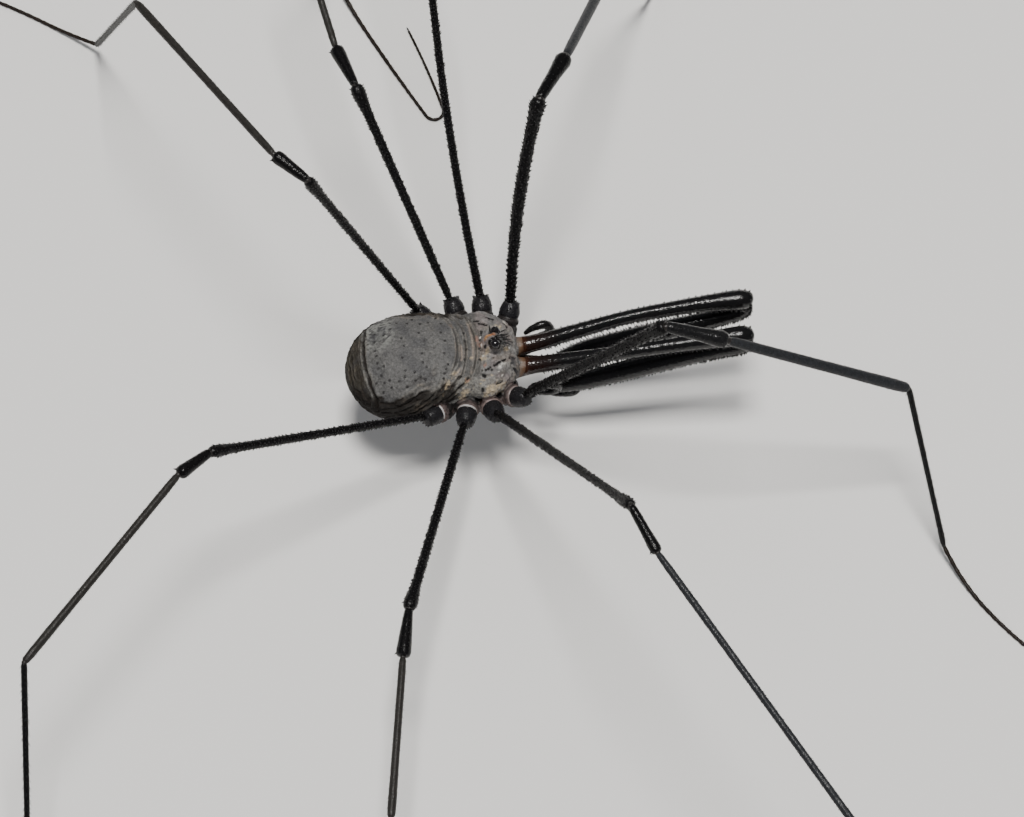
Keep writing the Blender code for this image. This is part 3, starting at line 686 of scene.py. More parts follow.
# The sockets of the bristles on the back: their places.
DOTS = (
    (-4.21, -1.21), (-4.14, 0.19), (-4.1, -0.07), (-4.09, -0.4), (-4.08, -0.64), (-3.98, -0.97),
    (-3.87, -1.28), (-3.84, -0.61), (-3.66, -1.23), (-3.61, -1.52), (-3.4, 1.15), (-3.39, 1.52),
    (-3.26, -1.34), (-3.12, 1.44), (-3.04, -0.38), (-3.0, -1.2), (-2.99, 0.55), (-2.96, -0.96),
    (-2.95, -1.59), (-2.92, 0.16), (-2.68, 1.34), (-2.59, -1.07), (-2.58, -1.4), (-2.46, 1.53),
    (-2.35, -1.28), (-2.25, 0.73), (-2.21, -0.7), (-2.21, -0.29), (-2.16, -1.4), (-2.14, 1.22),
    (-2.07, -0.91), (-2.06, 0.29), (-1.81, 1.27), (-1.46, 1.49), (-1.41, -1.4), (-1.35, -1.19),
    (-1.33, 0.68), (-1.27, -1.02), (-1.27, -0.33), (-1.27, 1.19), (-1.18, 0.25), (-1.17, -0.83),
    (-0.66, -1.35), (-0.45, -0.64), (-0.36, 0.21), (-0.36, 0.61), (-0.34, -0.19), (0.19, -0.7),
    (0.21, -0.24), (0.27, 0.17), (-4.12, 0.62), (-4.08, 1.05), (-3.72, 0.86), (-3.95, -1.60),
)
DOT_STAIN = 0.050
for px, py in DOTS:
    stain(BLACK_MARK_AND_SHADE, 0.96 * ramp(bell(np.hypot(x - px, y - py), DOT_STAIN), 0.10, 0.6) * (z > 0))

# Cream, white and pink patches: place, length, width, turn in degrees.
MARKS_CREAM = (
    (0.36, -0.68, 0.15, 0.12, 0), (0.50, -0.44, 0.16, 0.10, 60), (1.07, 0.86, 0.19, 0.13, -15),
    (1.42, 1.26, 0.14, 0.04, -40), (1.34, -0.24, 0.14, 0.045, 20), (0.80, -1.73, 0.36, 0.13, 18),
    (0.48, -1.87, 0.16, 0.09, 10), (0.60, -1.36, 0.05, 0.04, 0), (0.27, -1.55, 0.10, 0.04, 0),
    (-0.45, -1.54, 0.08, 0.07, 0), (-0.49, -1.83, 0.20, 0.06, 10), (-0.94, -1.20, 0.14, 0.09, 20),
    (-1.28, -1.60, 0.06, 0.24, -35), (-0.20, -0.60, 0.07, 0.05, 0), (0.62, -1.90, 0.16, 0.06, 10),
    (0.28, -1.98, 0.12, 0.06, 0), (-0.66, -1.95, 0.16, 0.05, 25),
)
MARKS_WHITE = (
    (0.97, -1.02, 0.085, 0.060, 30), (1.08, -0.93, 0.060, 0.045, 30),
    (1.18, -0.90, 0.065, 0.040, 20), (1.24, -0.80, 0.030, 0.025, 0),
    (1.42, 1.26, 0.120, 0.035, -40), (0.34, -0.55, 0.040, 0.050, 0),
    (0.90, -1.22, 0.050, 0.030, 20), (1.05, -1.34, 0.060, 0.030, 40), (0.30, 0.28, 0.025, 0.050, 0),
    (0.30, -0.14, 0.025, 0.060, 0), (1.45, -0.10, 0.050, 0.035, 0),
)
MARKS_PINK = (
    (0.16, 0.22, 0.07, 0.20, 0), (0.26, -0.10, 0.10, 0.12, 0), (0.36, -0.96, 0.10, 0.08, 0),
    (-0.40, -1.50, 0.10, 0.06, 0),
)
broken = 0.40 + 0.60 * ramp(fleck, -0.2, 0.25)
for px, py, length, width, turn in MARKS_CREAM:
    stain(CREAM, 0.85 * patch((px, py), length, width, turn, 0.8) * broken)
for px, py, length, width, turn in MARKS_PINK:
    stain(PINK, 0.55 * patch((px, py), length, width, turn))
for px, py, length, width, turn in MARKS_WHITE:
    stain(WHITE, 0.90 * patch((px, py), length, width, turn, 0.6))
for line, _, width in SLITS:
    slit = bell(line_reach(line, 2), width * 1.6) * (1 + 0.7 * fleck)
    stain(BLACK_MARK_AND_SHADE, 0.97 * ramp(slit, 0.15, 0.5), 0.75)
stain(BLACK_MARK_AND_SHADE, 0.97 * ramp(pit * (1 + 0.7 * spot_noise), 0.15, 0.5), 0.75)
# Painted shade in the creased hollow between the two front folds on the right.
front_hollow_shade = 0.85 * patch((1.62, -0.74), 0.15, 0.50, 8, 0.9)
stain(FRONT_HOLLOW_SHADE, front_hollow_shade * ramp(grainy(points, (0.5, 0.12, 0.5), 61.0), -0.45, 0.15))

# The coxae are dark and granular, with a smooth pinkish cuff at the right sockets and rust-red skin
# between them. The skin under the carapace's rim, and the coxae just under its lip, carry painted
# shadow.
GAP_SPOTS = ((1.27, -1.72, -0.36), (0.25, -2.06, -0.40))
low_front = ramp(x, -1.0, -0.5) * ramp(-z, 0.16, 0.30) * plain_part * ramp(across, 0.7, 1.1)
# Painted shadow low on the sides of the fore body, under the carapace's rim.
stain(BLACK_MARK_AND_SHADE, 0.90 * low_front, 0.4)
stain(GAP_RED, 0.85 * low_front * ramp(mottle, 0.05, 0.35) * ramp(x, -0.3, 0.6))
mouth = ramp(x, 1.72, 1.86) * ramp(-z, 0.60, 0.68)
stain(BLACK_MARK_AND_SHADE, 0.90 * mouth, 0.35)
stain(COXA_BROWN, coxa_part, 0.45)
right_side = 0.05 + 0.95 * ramp(-y, 0.0, 0.5)
rim_grain = 0.55 + 0.45 * ramp(grainy(points, 0.14, 63.0), -0.4, 0.3)
stain(SOCKET_RIM, cuff * right_side * rim_grain, 0.46)
stain(CUFF_PINK, 0.60 * ramp(cuff_along, -0.32, -0.29) * right_side)
# Painted shadow on the coxae just under the carapace's lip.
under_lip = (1 - ramp(beyond_lip, 0.05, 0.12)) * ramp(x, -1.35, -1.15)
stain(BLACK_MARK_AND_SHADE, 0.93 * coxa_part * under_lip, 0.5)
for spot in GAP_SPOTS:
    stain(GAP_RUST, 0.75 * bell(np.linalg.norm(points - np.array(spot), axis=1), 0.13))

# The mound between the eyes is dark in front, with a rust-red arc behind the right eye.
MOUND_ARC = ((0.50, 0.00, 1.36), (0.55, 0.06, 1.45), (0.68, 0.08, 1.55), (0.84, 0.06, 1.60))
mound_top = ramp(z, 1.02, 1.20) * ramp(x, 0.2, 0.5)
stain(MOUND_GREY, 0.70 * mound_top * ramp(x, 0.60, 0.95) * ramp(y, -0.46, -0.26))
arc = line_reach(MOUND_ARC)
stain(RUST, 0.95 * bell(arc, 0.066))
stain(ARC_YELLOW, 0.70 * bell(arc, 0.055) * (1 - ramp(x, 0.50, 0.64)))
stain(ARC_RED, 0.75 * bell(arc, 0.062) * ramp(x, 0.66, 0.80))
to_eyes = (np.linalg.norm(points - np.array(seat), axis=1) for seat in EYE_SEATS.values())
eye_skin = np.minimum(*to_eyes)
# Painted light on the skin below the eyes, where the mound's steep flank falls in shade.
under_eye_light = ramp(eye_skin, 0.30, 0.36) * (1 - ramp(eye_skin, 0.50, 0.62)) * ramp(across, 0.38, 0.50)
stain(UNDER_EYE_LIGHT, 0.75 * under_eye_light)
stain(BLACK_MARK_AND_SHADE, 1 - ramp(eye_skin, 0.290, 0.335), 0.3)


def write_tint(piece, colours):
    layer = piece.data.attributes.new("tint", "FLOAT_COLOR", "POINT")
    layer.data.foreach_set("color", np.ascontiguousarray(colours, dtype=np.float32).ravel())


def shell_material(name, grain, contrast, bump, glint=0.0, clear=0.0, gloss=0.5, polish=0.22):
    """Cuticle: the skin's own colour broken by grains of the given size, raised a little, under a
    clear gloss. A glint above 0 paints a highlight on the centre of each grain."""
    material = bpy.data.materials.new(name)
    material.use_nodes = True
    nodes = material.node_tree.nodes
    link = material.node_tree.links.new
    shader = nodes["Principled BSDF"]
    where = nodes.new("ShaderNodeTexCoord")
    skin = nodes.new("ShaderNodeAttribute")
    skin.attribute_name = "tint"
    grains = nodes.new("ShaderNodeTexVoronoi")
    grains.inputs["Scale"].default_value = 1 / (grain * MM)
    grains.inputs["Randomness"].default_value = 0.9
    blotches = nodes.new("ShaderNodeTexNoise")
    blotches.inputs["Scale"].default_value = 0.7 / (grain * MM)
    blotches.inputs["Detail"].default_value = 4.0
    blotches.inputs["Roughness"].default_value = 0.65
    link(where.outputs["Object"], grains.inputs["Vector"])
    link(where.outputs["Object"], blotches.inputs["Vector"])
    lift = nodes.new("ShaderNodeMapRange")
    lift.inputs["From Min"].default_value = 0.25
    lift.inputs["From Max"].default_value = 0.75
    lift.inputs["To Min"].default_value = 1 - contrast
    lift.inputs["To Max"].default_value = 1 + contrast
    link(blotches.outputs["Fac"], lift.inputs["Value"])
    # Painted glints: the colour is lightened toward the centre of each grain.
    fleck = nodes.new("ShaderNodeMapRange")
    fleck.inputs["From Min"].default_value = 0.0
    fleck.inputs["From Max"].default_value = 0.28
    fleck.inputs["To Min"].default_value = 1 + glint
    fleck.inputs["To Max"].default_value = 1.0
    link(grains.outputs["Distance"], fleck.inputs["Value"])
    strength = nodes.new("ShaderNodeMath")
    strength.operation = "MULTIPLY"
    link(lift.outputs["Result"], strength.inputs[0])
    link(fleck.outputs["Result"], strength.inputs[1])
    colour = nodes.new("ShaderNodeVectorMath")
    colour.operation = "SCALE"
    link(skin.outputs["Color"], colour.inputs[0])
    link(strength.outputs["Value"], colour.inputs["Scale"])
    link(colour.outputs["Vector"], shader.inputs["Base Color"])
    link(skin.outputs["Alpha"], shader.inputs["Roughness"])
    relief = nodes.new("ShaderNodeBump")
    relief.invert = True
    relief.inputs["Strength"].default_value = bump
    relief.inputs["Distance"].default_value = grain * MM * 0.5
    link(grains.outputs["Distance"], relief.inputs["Height"])
    link(relief.outputs["Normal"], shader.inputs["Normal"])
    link(relief.outputs["Normal"], shader.inputs["Coat Normal"])
    shader.inputs["Specular IOR Level"].default_value = gloss
    shader.inputs["Coat Weight"].default_value = clear
    shader.inputs["Coat Roughness"].default_value = polish
    return material


TO_STAND = Matrix.Translation(BODY_POINT) @ Matrix.Scale(MM, 4)


def finish_piece(piece, material, slot, *replaced):
    """Sets the piece in its place in metres, smooth, with its material, hung under the root, and
    hides the parts that it replaces.
    """
    piece.data.transform(TO_STAND)
    piece.data.materials.clear()
    piece.data.materials.append(material)
    piece.data.shade_smooth()
    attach(piece, "root")
    if replaced:
        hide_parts(*replaced)


write_tint(body, tint)
body_tree = BVHTree.FromObject(body, bpy.context.evaluated_depsgraph_get())
grey_cuticle = shell_material("grey_cuticle", 0.060, 0.45, 0.60, glint=0.30, gloss=0.20)
finish_piece(body, grey_cuticle, "body", "prosoma", "opisthosoma")


# The eyes: two glossy black beads on the flanks of the mound, each sunk into a dark ring of the
# skin.
EYE_RADIUS = 0.215
EYE_BLACK = (0.003, 0.003, 0.004)
EYE_BROWN = (0.012, 0.009, 0.010)
EYE_CLOUD = 0.25
eye_gloss = bpy.data.materials.new("eye_black")
eye_gloss.use_nodes = True
eye_nodes = eye_gloss.node_tree.nodes
eye_link = eye_gloss.node_tree.links.new
eye_shader = eye_nodes["Principled BSDF"]
eye_where = eye_nodes.new("ShaderNodeTexCoord")
eye_depth = eye_nodes.new("ShaderNodeTexNoise")
eye_depth.inputs["Scale"].default_value = 1 / (EYE_CLOUD * MM)
eye_hue = eye_nodes.new("ShaderNodeMix")
eye_hue.data_type = "RGBA"
eye_hue.inputs["A"].default_value = (*EYE_BLACK, 1)
eye_hue.inputs["B"].default_value = (*EYE_BROWN, 1)
eye_link(eye_where.outputs["Object"], eye_depth.inputs["Vector"])
eye_link(eye_depth.outputs["Fac"], eye_hue.inputs["Factor"])
eye_link(eye_hue.outputs["Result"], eye_shader.inputs["Base Color"])
eye_shader.inputs["Roughness"].default_value = 0.06
eye_shader.inputs["Coat Weight"].default_value = 0.6
eye_shader.inputs["Coat Roughness"].default_value = 0.03
for word, seat in EYE_SEATS.items():
    bead = bmesh.new()
    bmesh.ops.create_icosphere(bead, subdivisions=4, radius=EYE_RADIUS)
    bmesh.ops.translate(bead, verts=bead.verts, vec=seat)
    finish_piece(new_piece("eye_" + word + "_bead", bead), eye_gloss, "eye", "eye_" + word)


# The body's spines and bristles: slender spines of hard black cuticle fan forward from the mound,
# and one short bristle stands in each of the sockets that dot the back.
# Spines: place of the foot, length, and the way each leans.
SPINES = (
    (0.70, 0.37, 0.42, -0.02, 0.45, 0.9), (1.01, 0.34, 0.38, 0.9, 0.42, 0.0),
    (0.95, 0.07, 0.40, 1.0, 0.06, -0.2), (0.98, 0.00, 0.42, 1.0, -0.10, -0.35),
    (1.08, -0.14, 0.34, 0.9, -0.42, -0.1), (1.38, 0.13, 0.26, 1.0, -0.25, -0.1),
    (1.14, 0.18, 0.34, 1.0, 0.20, 0.05), (1.20, 0.02, 0.32, 1.0, 0.00, -0.1),
    (1.22, -0.12, 0.26, 1.0, -0.25, -0.1), (1.30, 0.26, 0.24, 1.0, 0.35, 0.0),
    (0.84, 0.20, 0.26, 0.3, 0.30, 0.9), (0.88, -0.06, 0.20, 0.6, -0.10, 0.9),
)
SPINE_WIDTH = 0.090
SPINE_ROOT = 0.04
SPINE_BLACK = (0.010, 0.009, 0.009)
DOT_RADIUS = 0.040
BRISTLE_SIZE = (0.014, 0.13)


def thorn(sides=6, bend=0.0, tip=0.0):
    """A little cone one unit high and one unit wide at the foot, leaning over by bend."""
    bm = bmesh.new()
    bmesh.ops.create_cone(
        bm, cap_ends=True, segments=sides, radius1=0.5, radius2=tip / 2, depth=1.0)
    bmesh.ops.translate(bm, verts=bm.verts, vec=(0, 0, 0.5))
    for vertex in bm.verts:
        vertex.co.x += bend * vertex.co.z ** 2
    bmesh.ops.recalc_face_normals(bm, faces=bm.faces)
    return bm


def sown(name, seed_form, places):
    """One mesh with a copy of the form at each place: foot, way up, forward, width, height."""
    pattern = np.array([vertex.co[:] for vertex in seed_form.verts])
    seed_form.verts.index_update()
    corners = [[vertex.index for vertex in face.verts] for face in seed_form.faces]
    seed_form.free()
    points = []
    faces = []
    for foot, rise, ahead, width, height in places:
        rise = np.array(rise) / np.linalg.norm(rise)
        ahead = np.array(ahead) - rise * np.dot(ahead, rise)
        ahead = ahead / max(np.linalg.norm(ahead), 1e-9)
        beside = np.cross(rise, ahead)
        shift = len(points) * len(pattern)
        frame_axes = np.array((ahead * width, beside * width, rise * height))
        points.append(pattern @ frame_axes + np.array(foot))
        faces.extend([[corner + shift for corner in face] for face in corners])
    mesh = bpy.data.meshes.new(name)
    mesh.from_pydata(np.concatenate(points), [], faces)
    piece = bpy.data.objects.new(name, mesh)
    bpy.context.scene.collection.objects.link(piece)
    return piece


def plain_material(name, colour, rough, spread=0.25, grain=0.05):
    """A colour that drifts a little from place to place."""
    material = bpy.data.materials.new(name)
    material.use_nodes = True
    nodes = material.node_tree.nodes
    link = material.node_tree.links.new
    where = nodes.new("ShaderNodeTexCoord")
    drift = nodes.new("ShaderNodeTexNoise")
    drift.inputs["Scale"].default_value = 1 / (grain * MM)
    mix = nodes.new("ShaderNodeMix")
    mix.data_type = "RGBA"
    mix.inputs["A"].default_value = (*(value * (1 - spread) for value in colour), 1)
    mix.inputs["B"].default_value = (*(value * (1 + spread) for value in colour), 1)
    link(where.outputs["Object"], drift.inputs["Vector"])
    link(drift.outputs["Fac"], mix.inputs["Factor"])
    link(mix.outputs["Result"], nodes["Principled BSDF"].inputs["Base Color"])
    nodes["Principled BSDF"].inputs["Roughness"].default_value = rough
    return material


def on_back(x, y):
    """The point of the skin under a place on the back, and its outward way."""
    place, normal, _, _ = body_tree.ray_cast(Vector((x, y, 4)), Vector((0, 0, -1)))
    return place, normal


spine_places = []
for sx, sy, length, lean_x, lean_y, rise in SPINES:
    foot, normal = on_back(sx, sy)
    way = Vector((lean_x, lean_y, rise))
    foot -= normal * SPINE_ROOT
    spine_places.append((foot, way, (0, 0, -1), SPINE_WIDTH, length + SPINE_ROOT))
spines = sown("mound_spines", thorn(8, bend=0.5, tip=0.45), spine_places)
spine_black = plain_material("spine_black", SPINE_BLACK, 0.35)
finish_piece(spines, spine_black, "body")

dot_places = []
bristle_places = []
for dx, dy in DOTS:
    foot, normal = on_back(dx, dy)
    dot_places.append((foot, normal, (1, 0, 0), DOT_RADIUS, DOT_RADIUS * 0.45))
    way = normal + Vector((-0.9, 0, 0.1))
    bristle_places.append((foot, way, (0, 0, 1), *BRISTLE_SIZE))
bead = bmesh.new()
bmesh.ops.create_icosphere(bead, subdivisions=2, radius=1.0)
finish_piece(sown("bristle_sockets", bead, dot_places), spine_black, "body")
finish_piece(sown("body_bristles", thorn(4), bristle_places), spine_black, "body")


# The chelicerae: two long arms of polished black cuticle, finely toothed along their edges. Each
# basal article grows red-brown from a soft tan collar; the second is hinged at the elbow, folds
# back beneath it and ends in a small pincer near the mouth.
COLLAR_PATH = (
    (1.40, 0.46, -0.50), (1.60, 0.47, -0.47), (1.78, 0.48, -0.45), (1.94, 0.49, -0.43),
    (2.06, 0.49, -0.41), (2.18, 0.50, -0.40), (2.36, 0.50, -0.37), (2.56, 0.51, -0.33),
)
COLLAR_RADII = (0.40, 0.49, 0.47, 0.425, 0.405, 0.395, 0.375, 0.30)
BASAL_PATH = (
    (2.06, 0.49, -0.43), (2.32, 0.50, -0.38), (2.70, 0.52, -0.30), (4.20, 0.64, 0.10),
    (6.60, 0.82, 0.66), (9.20, 0.88, 1.04), (11.00, 0.87, 1.20), (11.48, 0.86, 1.18),
    (11.72, 0.86, 1.14), (11.85, 0.85, 1.10),
)
BASAL_RADII = (0.30, 0.40, 0.38, 0.33, 0.30, 0.34, 0.43, 0.425, 0.35, 0.22)
DISTAL_PATH = (
    (11.46, 0.84, 0.86), (11.58, 0.84, 0.56), (11.32, 0.82, 0.24), (10.40, 0.76, 0.00),
    (8.40, 0.73, -0.55), (6.40, 0.73, -1.16), (4.90, 0.74, -1.63), (4.00, 0.69, -2.00),
    (3.45, 0.62, -2.24), (3.06, 0.55, -2.34),
)
DISTAL_RADII = (0.24, 0.33, 0.36, 0.37, 0.43, 0.44, 0.40, 0.33, 0.24, 0.10)
FINGER_PATH = (
    (4.45, 0.80, -2.22), (4.20, 0.82, -2.42), (3.90, 0.79, -2.58), (3.45, 0.70, -2.70),
    (3.10, 0.60, -2.70), (2.86, 0.54, -2.62),
)
FINGER_RADII = (0.12, 0.19, 0.17, 0.13, 0.09, 0.03)
# The yellow skin in the elbow, and the place of the bumps over it.
ELBOW_SKIN = ((11.46, 0.85, 0.94), (11.64, 0.85, 0.90), (11.80, 0.85, 0.82))
ELBOW_SKIN_RADII = (0.24, 0.28, 0.16)
ELBOW_BUMPS = (11.72, 0.85, 1.12)
ELBOW_BUMP_RING = 0.33
ELBOW_BUMP_SIZE = (0.15, 0.13)
# The right elbow is held a little nearer.
ARM_REACH = {"left": 1.0, "right": 0.98}
JET = (0.0045, 0.0042, 0.0045)
RED_BROWN = (0.014, 0.0048, 0.003)
RIM_ORANGE = (0.036, 0.012, 0.005)
YELLOW_SKIN = (0.110, 0.062, 0.022)
COLLAR_TAN = (0.128, 0.100, 0.078)
COLLAR_BROWN = (0.110, 0.050, 0.018)
COLLAR_DARK = (0.022, 0.008, 0.005)
TOOTH_BLACK = (0.005, 0.0045, 0.0045)


def flowing(path, values, spacing):
    """Points about the given spacing apart on a smooth line through the path, with the values
    between them."""
    path = np.array([tuple(point) for point in path], float)
    values = np.array(values, float).reshape(len(path), -1)
    table = np.hstack((path, values))
    table = np.vstack((2 * table[0] - table[1], table, 2 * table[-1] - table[-2]))
    rows = []
    for a, b, c, d in zip(table, table[1:], table[2:], table[3:]):
        count = max(1, round(float(np.linalg.norm(c[:3] - b[:3])) / spacing))
        for index in range(count):
            t = index / count
            bend = 2 * a - 5 * b + 4 * c - d + t * (3 * (b - c) + d - a)
            rows.append(b + 0.5 * t * (c - a + t * bend))
    rows.append(table[-2])
    rows = np.array(rows)
    return [Vector(row[:3]) for row in rows], rows[:, 3:]


def draw_form(bm, centres, radii, tints, across=None, sides=16):
    """Adds one closed rounded form along the centres, each ring with its own colour."""
    layers = bm.verts.layers.float_color
    layer = layers.get("tint") or layers.new("tint")
    ways = ways_along(centres)
    first = bmesh.ops.create_circle(bm, cap_ends=True, segments=sides, radius=1)["verts"]
    cap = first[0].link_faces[0]
    side = None
    for index, (centre, way, radius, colour) in enumerate(zip(centres, ways, radii, tints)):
        if index:
            cap = bmesh.ops.extrude_discrete_faces(bm, faces=[cap])["faces"][0]
        reference = side or (across if across is not None else UP.cross(way))
        side = (reference - way * reference.dot(way)).normalized()
        rise = way.cross(side)
        for place, vertex in enumerate(cap.verts):
            angle = 2 * math.pi * (place + 0.5) / sides
            offset = side * math.cos(angle) + rise * math.sin(angle)
            vertex.co = centre + offset * float(radius)
            vertex[layer] = colour
    bmesh.ops.holes_fill(bm, edges=[edge for edge in bm.edges if edge.is_boundary])


def blunt_ends(radii, share=0.72):
    """Draws the first and last radius in, so that a form ends roundly."""
    radii = np.array(radii, float)
    radii[0] *= share
    radii[-1] *= share
    return radii


def teeth_along(centres, radii, angles, spacing, width, height, lean, dice, across=None):
    """Places for small teeth in lines along a form, at the given angles round it."""
    places = []
    for angle in angles:
        due = dice.random() * spacing
        for a, b, near, far in zip(centres, centres[1:], radii, radii[1:]):
            way = (b - a).normalized()
            side = UP.cross(way) if across is None else across
            side = (side - way * side.dot(way)).normalized()
            rise = way.cross(side)
            due -= (b - a).length
            while due < 0:
                due += spacing * dice.uniform(0.75, 1.25)
                turn = math.radians(angle + dice.uniform(-8, 8))
                out = side * math.cos(turn) + rise * math.sin(turn)
                share = dice.random()
                spot = a.lerp(b, share) + out * float(near + (far - near) * share) * 0.97
                size = dice.uniform(0.7, 1.15)
                places.append((spot, out + way * lean, way, width * size, height * size))
    return places


jet_shell = shell_material(
    "jet_shell", 0.075, 0.35, 0.26, glint=0.2, clear=0.50, gloss=0.20, polish=0.13)
collar_skin = shell_material("collar_skin", 0.12, 0.45, 0.4)
tooth_black = plain_material("tooth_black", TOOTH_BLACK, 0.35)
dice = np.random.default_rng(7)
# Rows of teeth: angle round the article, spacing, width and height.
BASAL_TEETH = (
    (28, 0.26, 0.085, 0.070), (70, 0.40, 0.050, 0.030), (180, 0.22, 0.055, 0.040),
    (206, 0.135, 0.090, 0.115), (224, 0.15, 0.075, 0.070), (255, 0.24, 0.055, 0.045),
    (300, 0.24, 0.055, 0.045),
)
DISTAL_TEETH = (
    (28, 0.120, 0.085, 0.105), (60, 0.20, 0.055, 0.050), (180, 0.22, 0.055, 0.040),
    (208, 0.120, 0.075, 0.085), (226, 0.15, 0.060, 0.055), (255, 0.24, 0.055, 0.045),
    (300, 0.24, 0.055, 0.045),
)
TOOTH_LEAN = 0.2
BARE_ROOT = 2.8
ELBOW_END = 9.4
ELBOW_TEETH = ((196, 0.10, 0.080, 0.11), (212, 0.10, 0.085, 0.125), (232, 0.11, 0.080, 0.10))


def roughen(piece, spacing, amount, seed):
    """Raises small grains all over a piece."""
    spots = read_points(piece)
    spots += read_normals(piece) * (amount * grainy(spots, spacing, seed))[:, None]
    write_points(piece, spots)


def arm_line(path, word):
    """An article's path on one side, as far forward as that arm reaches."""
    root = BASAL_PATH[1][0]
    reach = ARM_REACH[word]
    return [Vector((root + (px - root) * reach, py * SIDES[word], pz)) for px, py, pz in path]


for word, side in SIDES.items():
    arm = bmesh.new()
    tooth_places = []
    for path, radii, rows in (
        (BASAL_PATH, BASAL_RADII, BASAL_TEETH), (DISTAL_PATH, DISTAL_RADII, DISTAL_TEETH),
        (FINGER_PATH, FINGER_RADII, DISTAL_TEETH[:3]),
    ):
        centres, radii = flowing(arm_line(path, word), radii, 0.07)
        radii = radii[:, 0]
        tints = np.tile((*JET, 0.26), (len(centres), 1))
        if path is BASAL_PATH:
            reach = np.array([(centre - centres[0]).length for centre in centres])
            red = np.clip(1 - (reach - 0.3) / 1.5, 0, 1)[:, None]
            rim = np.clip(1 - (reach - 0.26) / 0.16, 0, 1)[:, None]
            tints[:, :3] += (np.array(RED_BROWN) - tints[:, :3]) * red
            tints[:, :3] += (np.array(RIM_ORANGE) - tints[:, :3]) * rim
        draw_form(arm, centres, blunt_ends(radii), tints, across=LEFTWARD, sides=16)
        # Seen along an article that runs backward, the rows are counted the other way round. The
        # roots and the very tips are bare.
        turn = 1 if path is BASAL_PATH else -1
        start = sum(centre.x < BARE_ROOT for centre in centres) if path is BASAL_PATH else 2
        spans = [(rows, centres[start:-4], radii[start:])]
        if path is DISTAL_PATH:
            end = sum(centre.x > ELBOW_END for centre in centres)
            spans.append((ELBOW_TEETH, centres[1:end], radii[1:]))
        for span_rows, span_centres, span_radii in spans:
            for angle, spacing, width, height in span_rows:
                tooth_places += teeth_along(
                    span_centres, span_radii, (angle * turn,), spacing, width, height,
                    TOOTH_LEAN, dice, LEFTWARD)
    bmesh.ops.recalc_face_normals(arm, faces=arm.faces)
    arm_piece = rounder(new_piece("chelicera_" + word + "_arm", arm), 1)
    roughen(arm_piece, 0.12, 0.012, 51.0)
    # The article's hind edge slants back below.
    spots = read_points(arm_piece)
    slant = 0.5 * (spots[:, 2] + 0.38) - 0.28
    spots[:, 0] += slant * (1 - ramp(spots[:, 0], 2.1, 3.3)) * (spots[:, 2] > -1.2)
    write_points(arm_piece, spots)
    names = [f"chelicera_{word}_{kind}" for kind in ("basal", "distal", "finger")]
    finish_piece(arm_piece, jet_shell, "chelicera", *names)

    # Blunt bumps stand round the end of the basal article, over the hinge.
    for angle in range(0, 360, 40):
        turn = math.radians(angle)
        spot = arm_line((ELBOW_BUMPS,), word)[0]
        spot += LEFTWARD * (ELBOW_BUMP_RING * math.cos(turn))
        spot += UP * (ELBOW_BUMP_RING * math.sin(turn))
        out = Vector((1.0, math.cos(turn), math.sin(turn)))
        tooth_places.append((spot, out, (0, 0, 1), *ELBOW_BUMP_SIZE))
    teeth = sown("chelicera_" + word + "_teeth", thorn(6, 0.25), tooth_places)
    finish_piece(teeth, tooth_black, "chelicera")

    collar = bmesh.new()
    centres, radii = flowing([on_side(point, side) for point in COLLAR_PATH], COLLAR_RADII, 0.06)
    tints = [(*COLLAR_TAN, 0.50)] * len(centres)
    draw_form(collar, centres, blunt_ends(radii[:, 0]), tints, across=LEFTWARD, sides=20)
    elbow = arm_line(ELBOW_SKIN, word)
    draw_form(collar, elbow, ELBOW_SKIN_RADII, [(*YELLOW_SKIN, 0.35)] * 3, across=LEFTWARD)
    bmesh.ops.recalc_face_normals(collar, faces=collar.faces)
    collar_piece = rounder(new_piece("chelicera_" + word + "_membrane", collar), 1)
    roughen(collar_piece, (0.20, 0.09, 0.09), 0.015, 53.0)
    # It darkens to red-brown toward the article, sooner below than above.
    spots = read_points(collar_piece)
    collar_tint = np.zeros(len(spots) * 4)
    collar_piece.data.attributes["tint"].data.foreach_get("color", collar_tint)
    collar_tint = collar_tint.reshape(-1, 4)
    reach = spots[:, 0] - 0.45 * (spots[:, 2] + 0.42) + 0.06 * grainy(spots, 0.2, 64.0)
    on_collar = spots[:, 0] < 4
    stain(COLLAR_BROWN, 0.85 * ramp(reach, 1.70, 1.92) * on_collar, layer=collar_tint)
    stain(COLLAR_DARK, 0.90 * ramp(reach, 1.86, 2.02) * on_collar, 0.35, collar_tint)
    collar_piece.data.attributes["tint"].data.foreach_set("color", collar_tint.ravel())
    finish_piece(collar_piece, collar_skin, "chelicera")


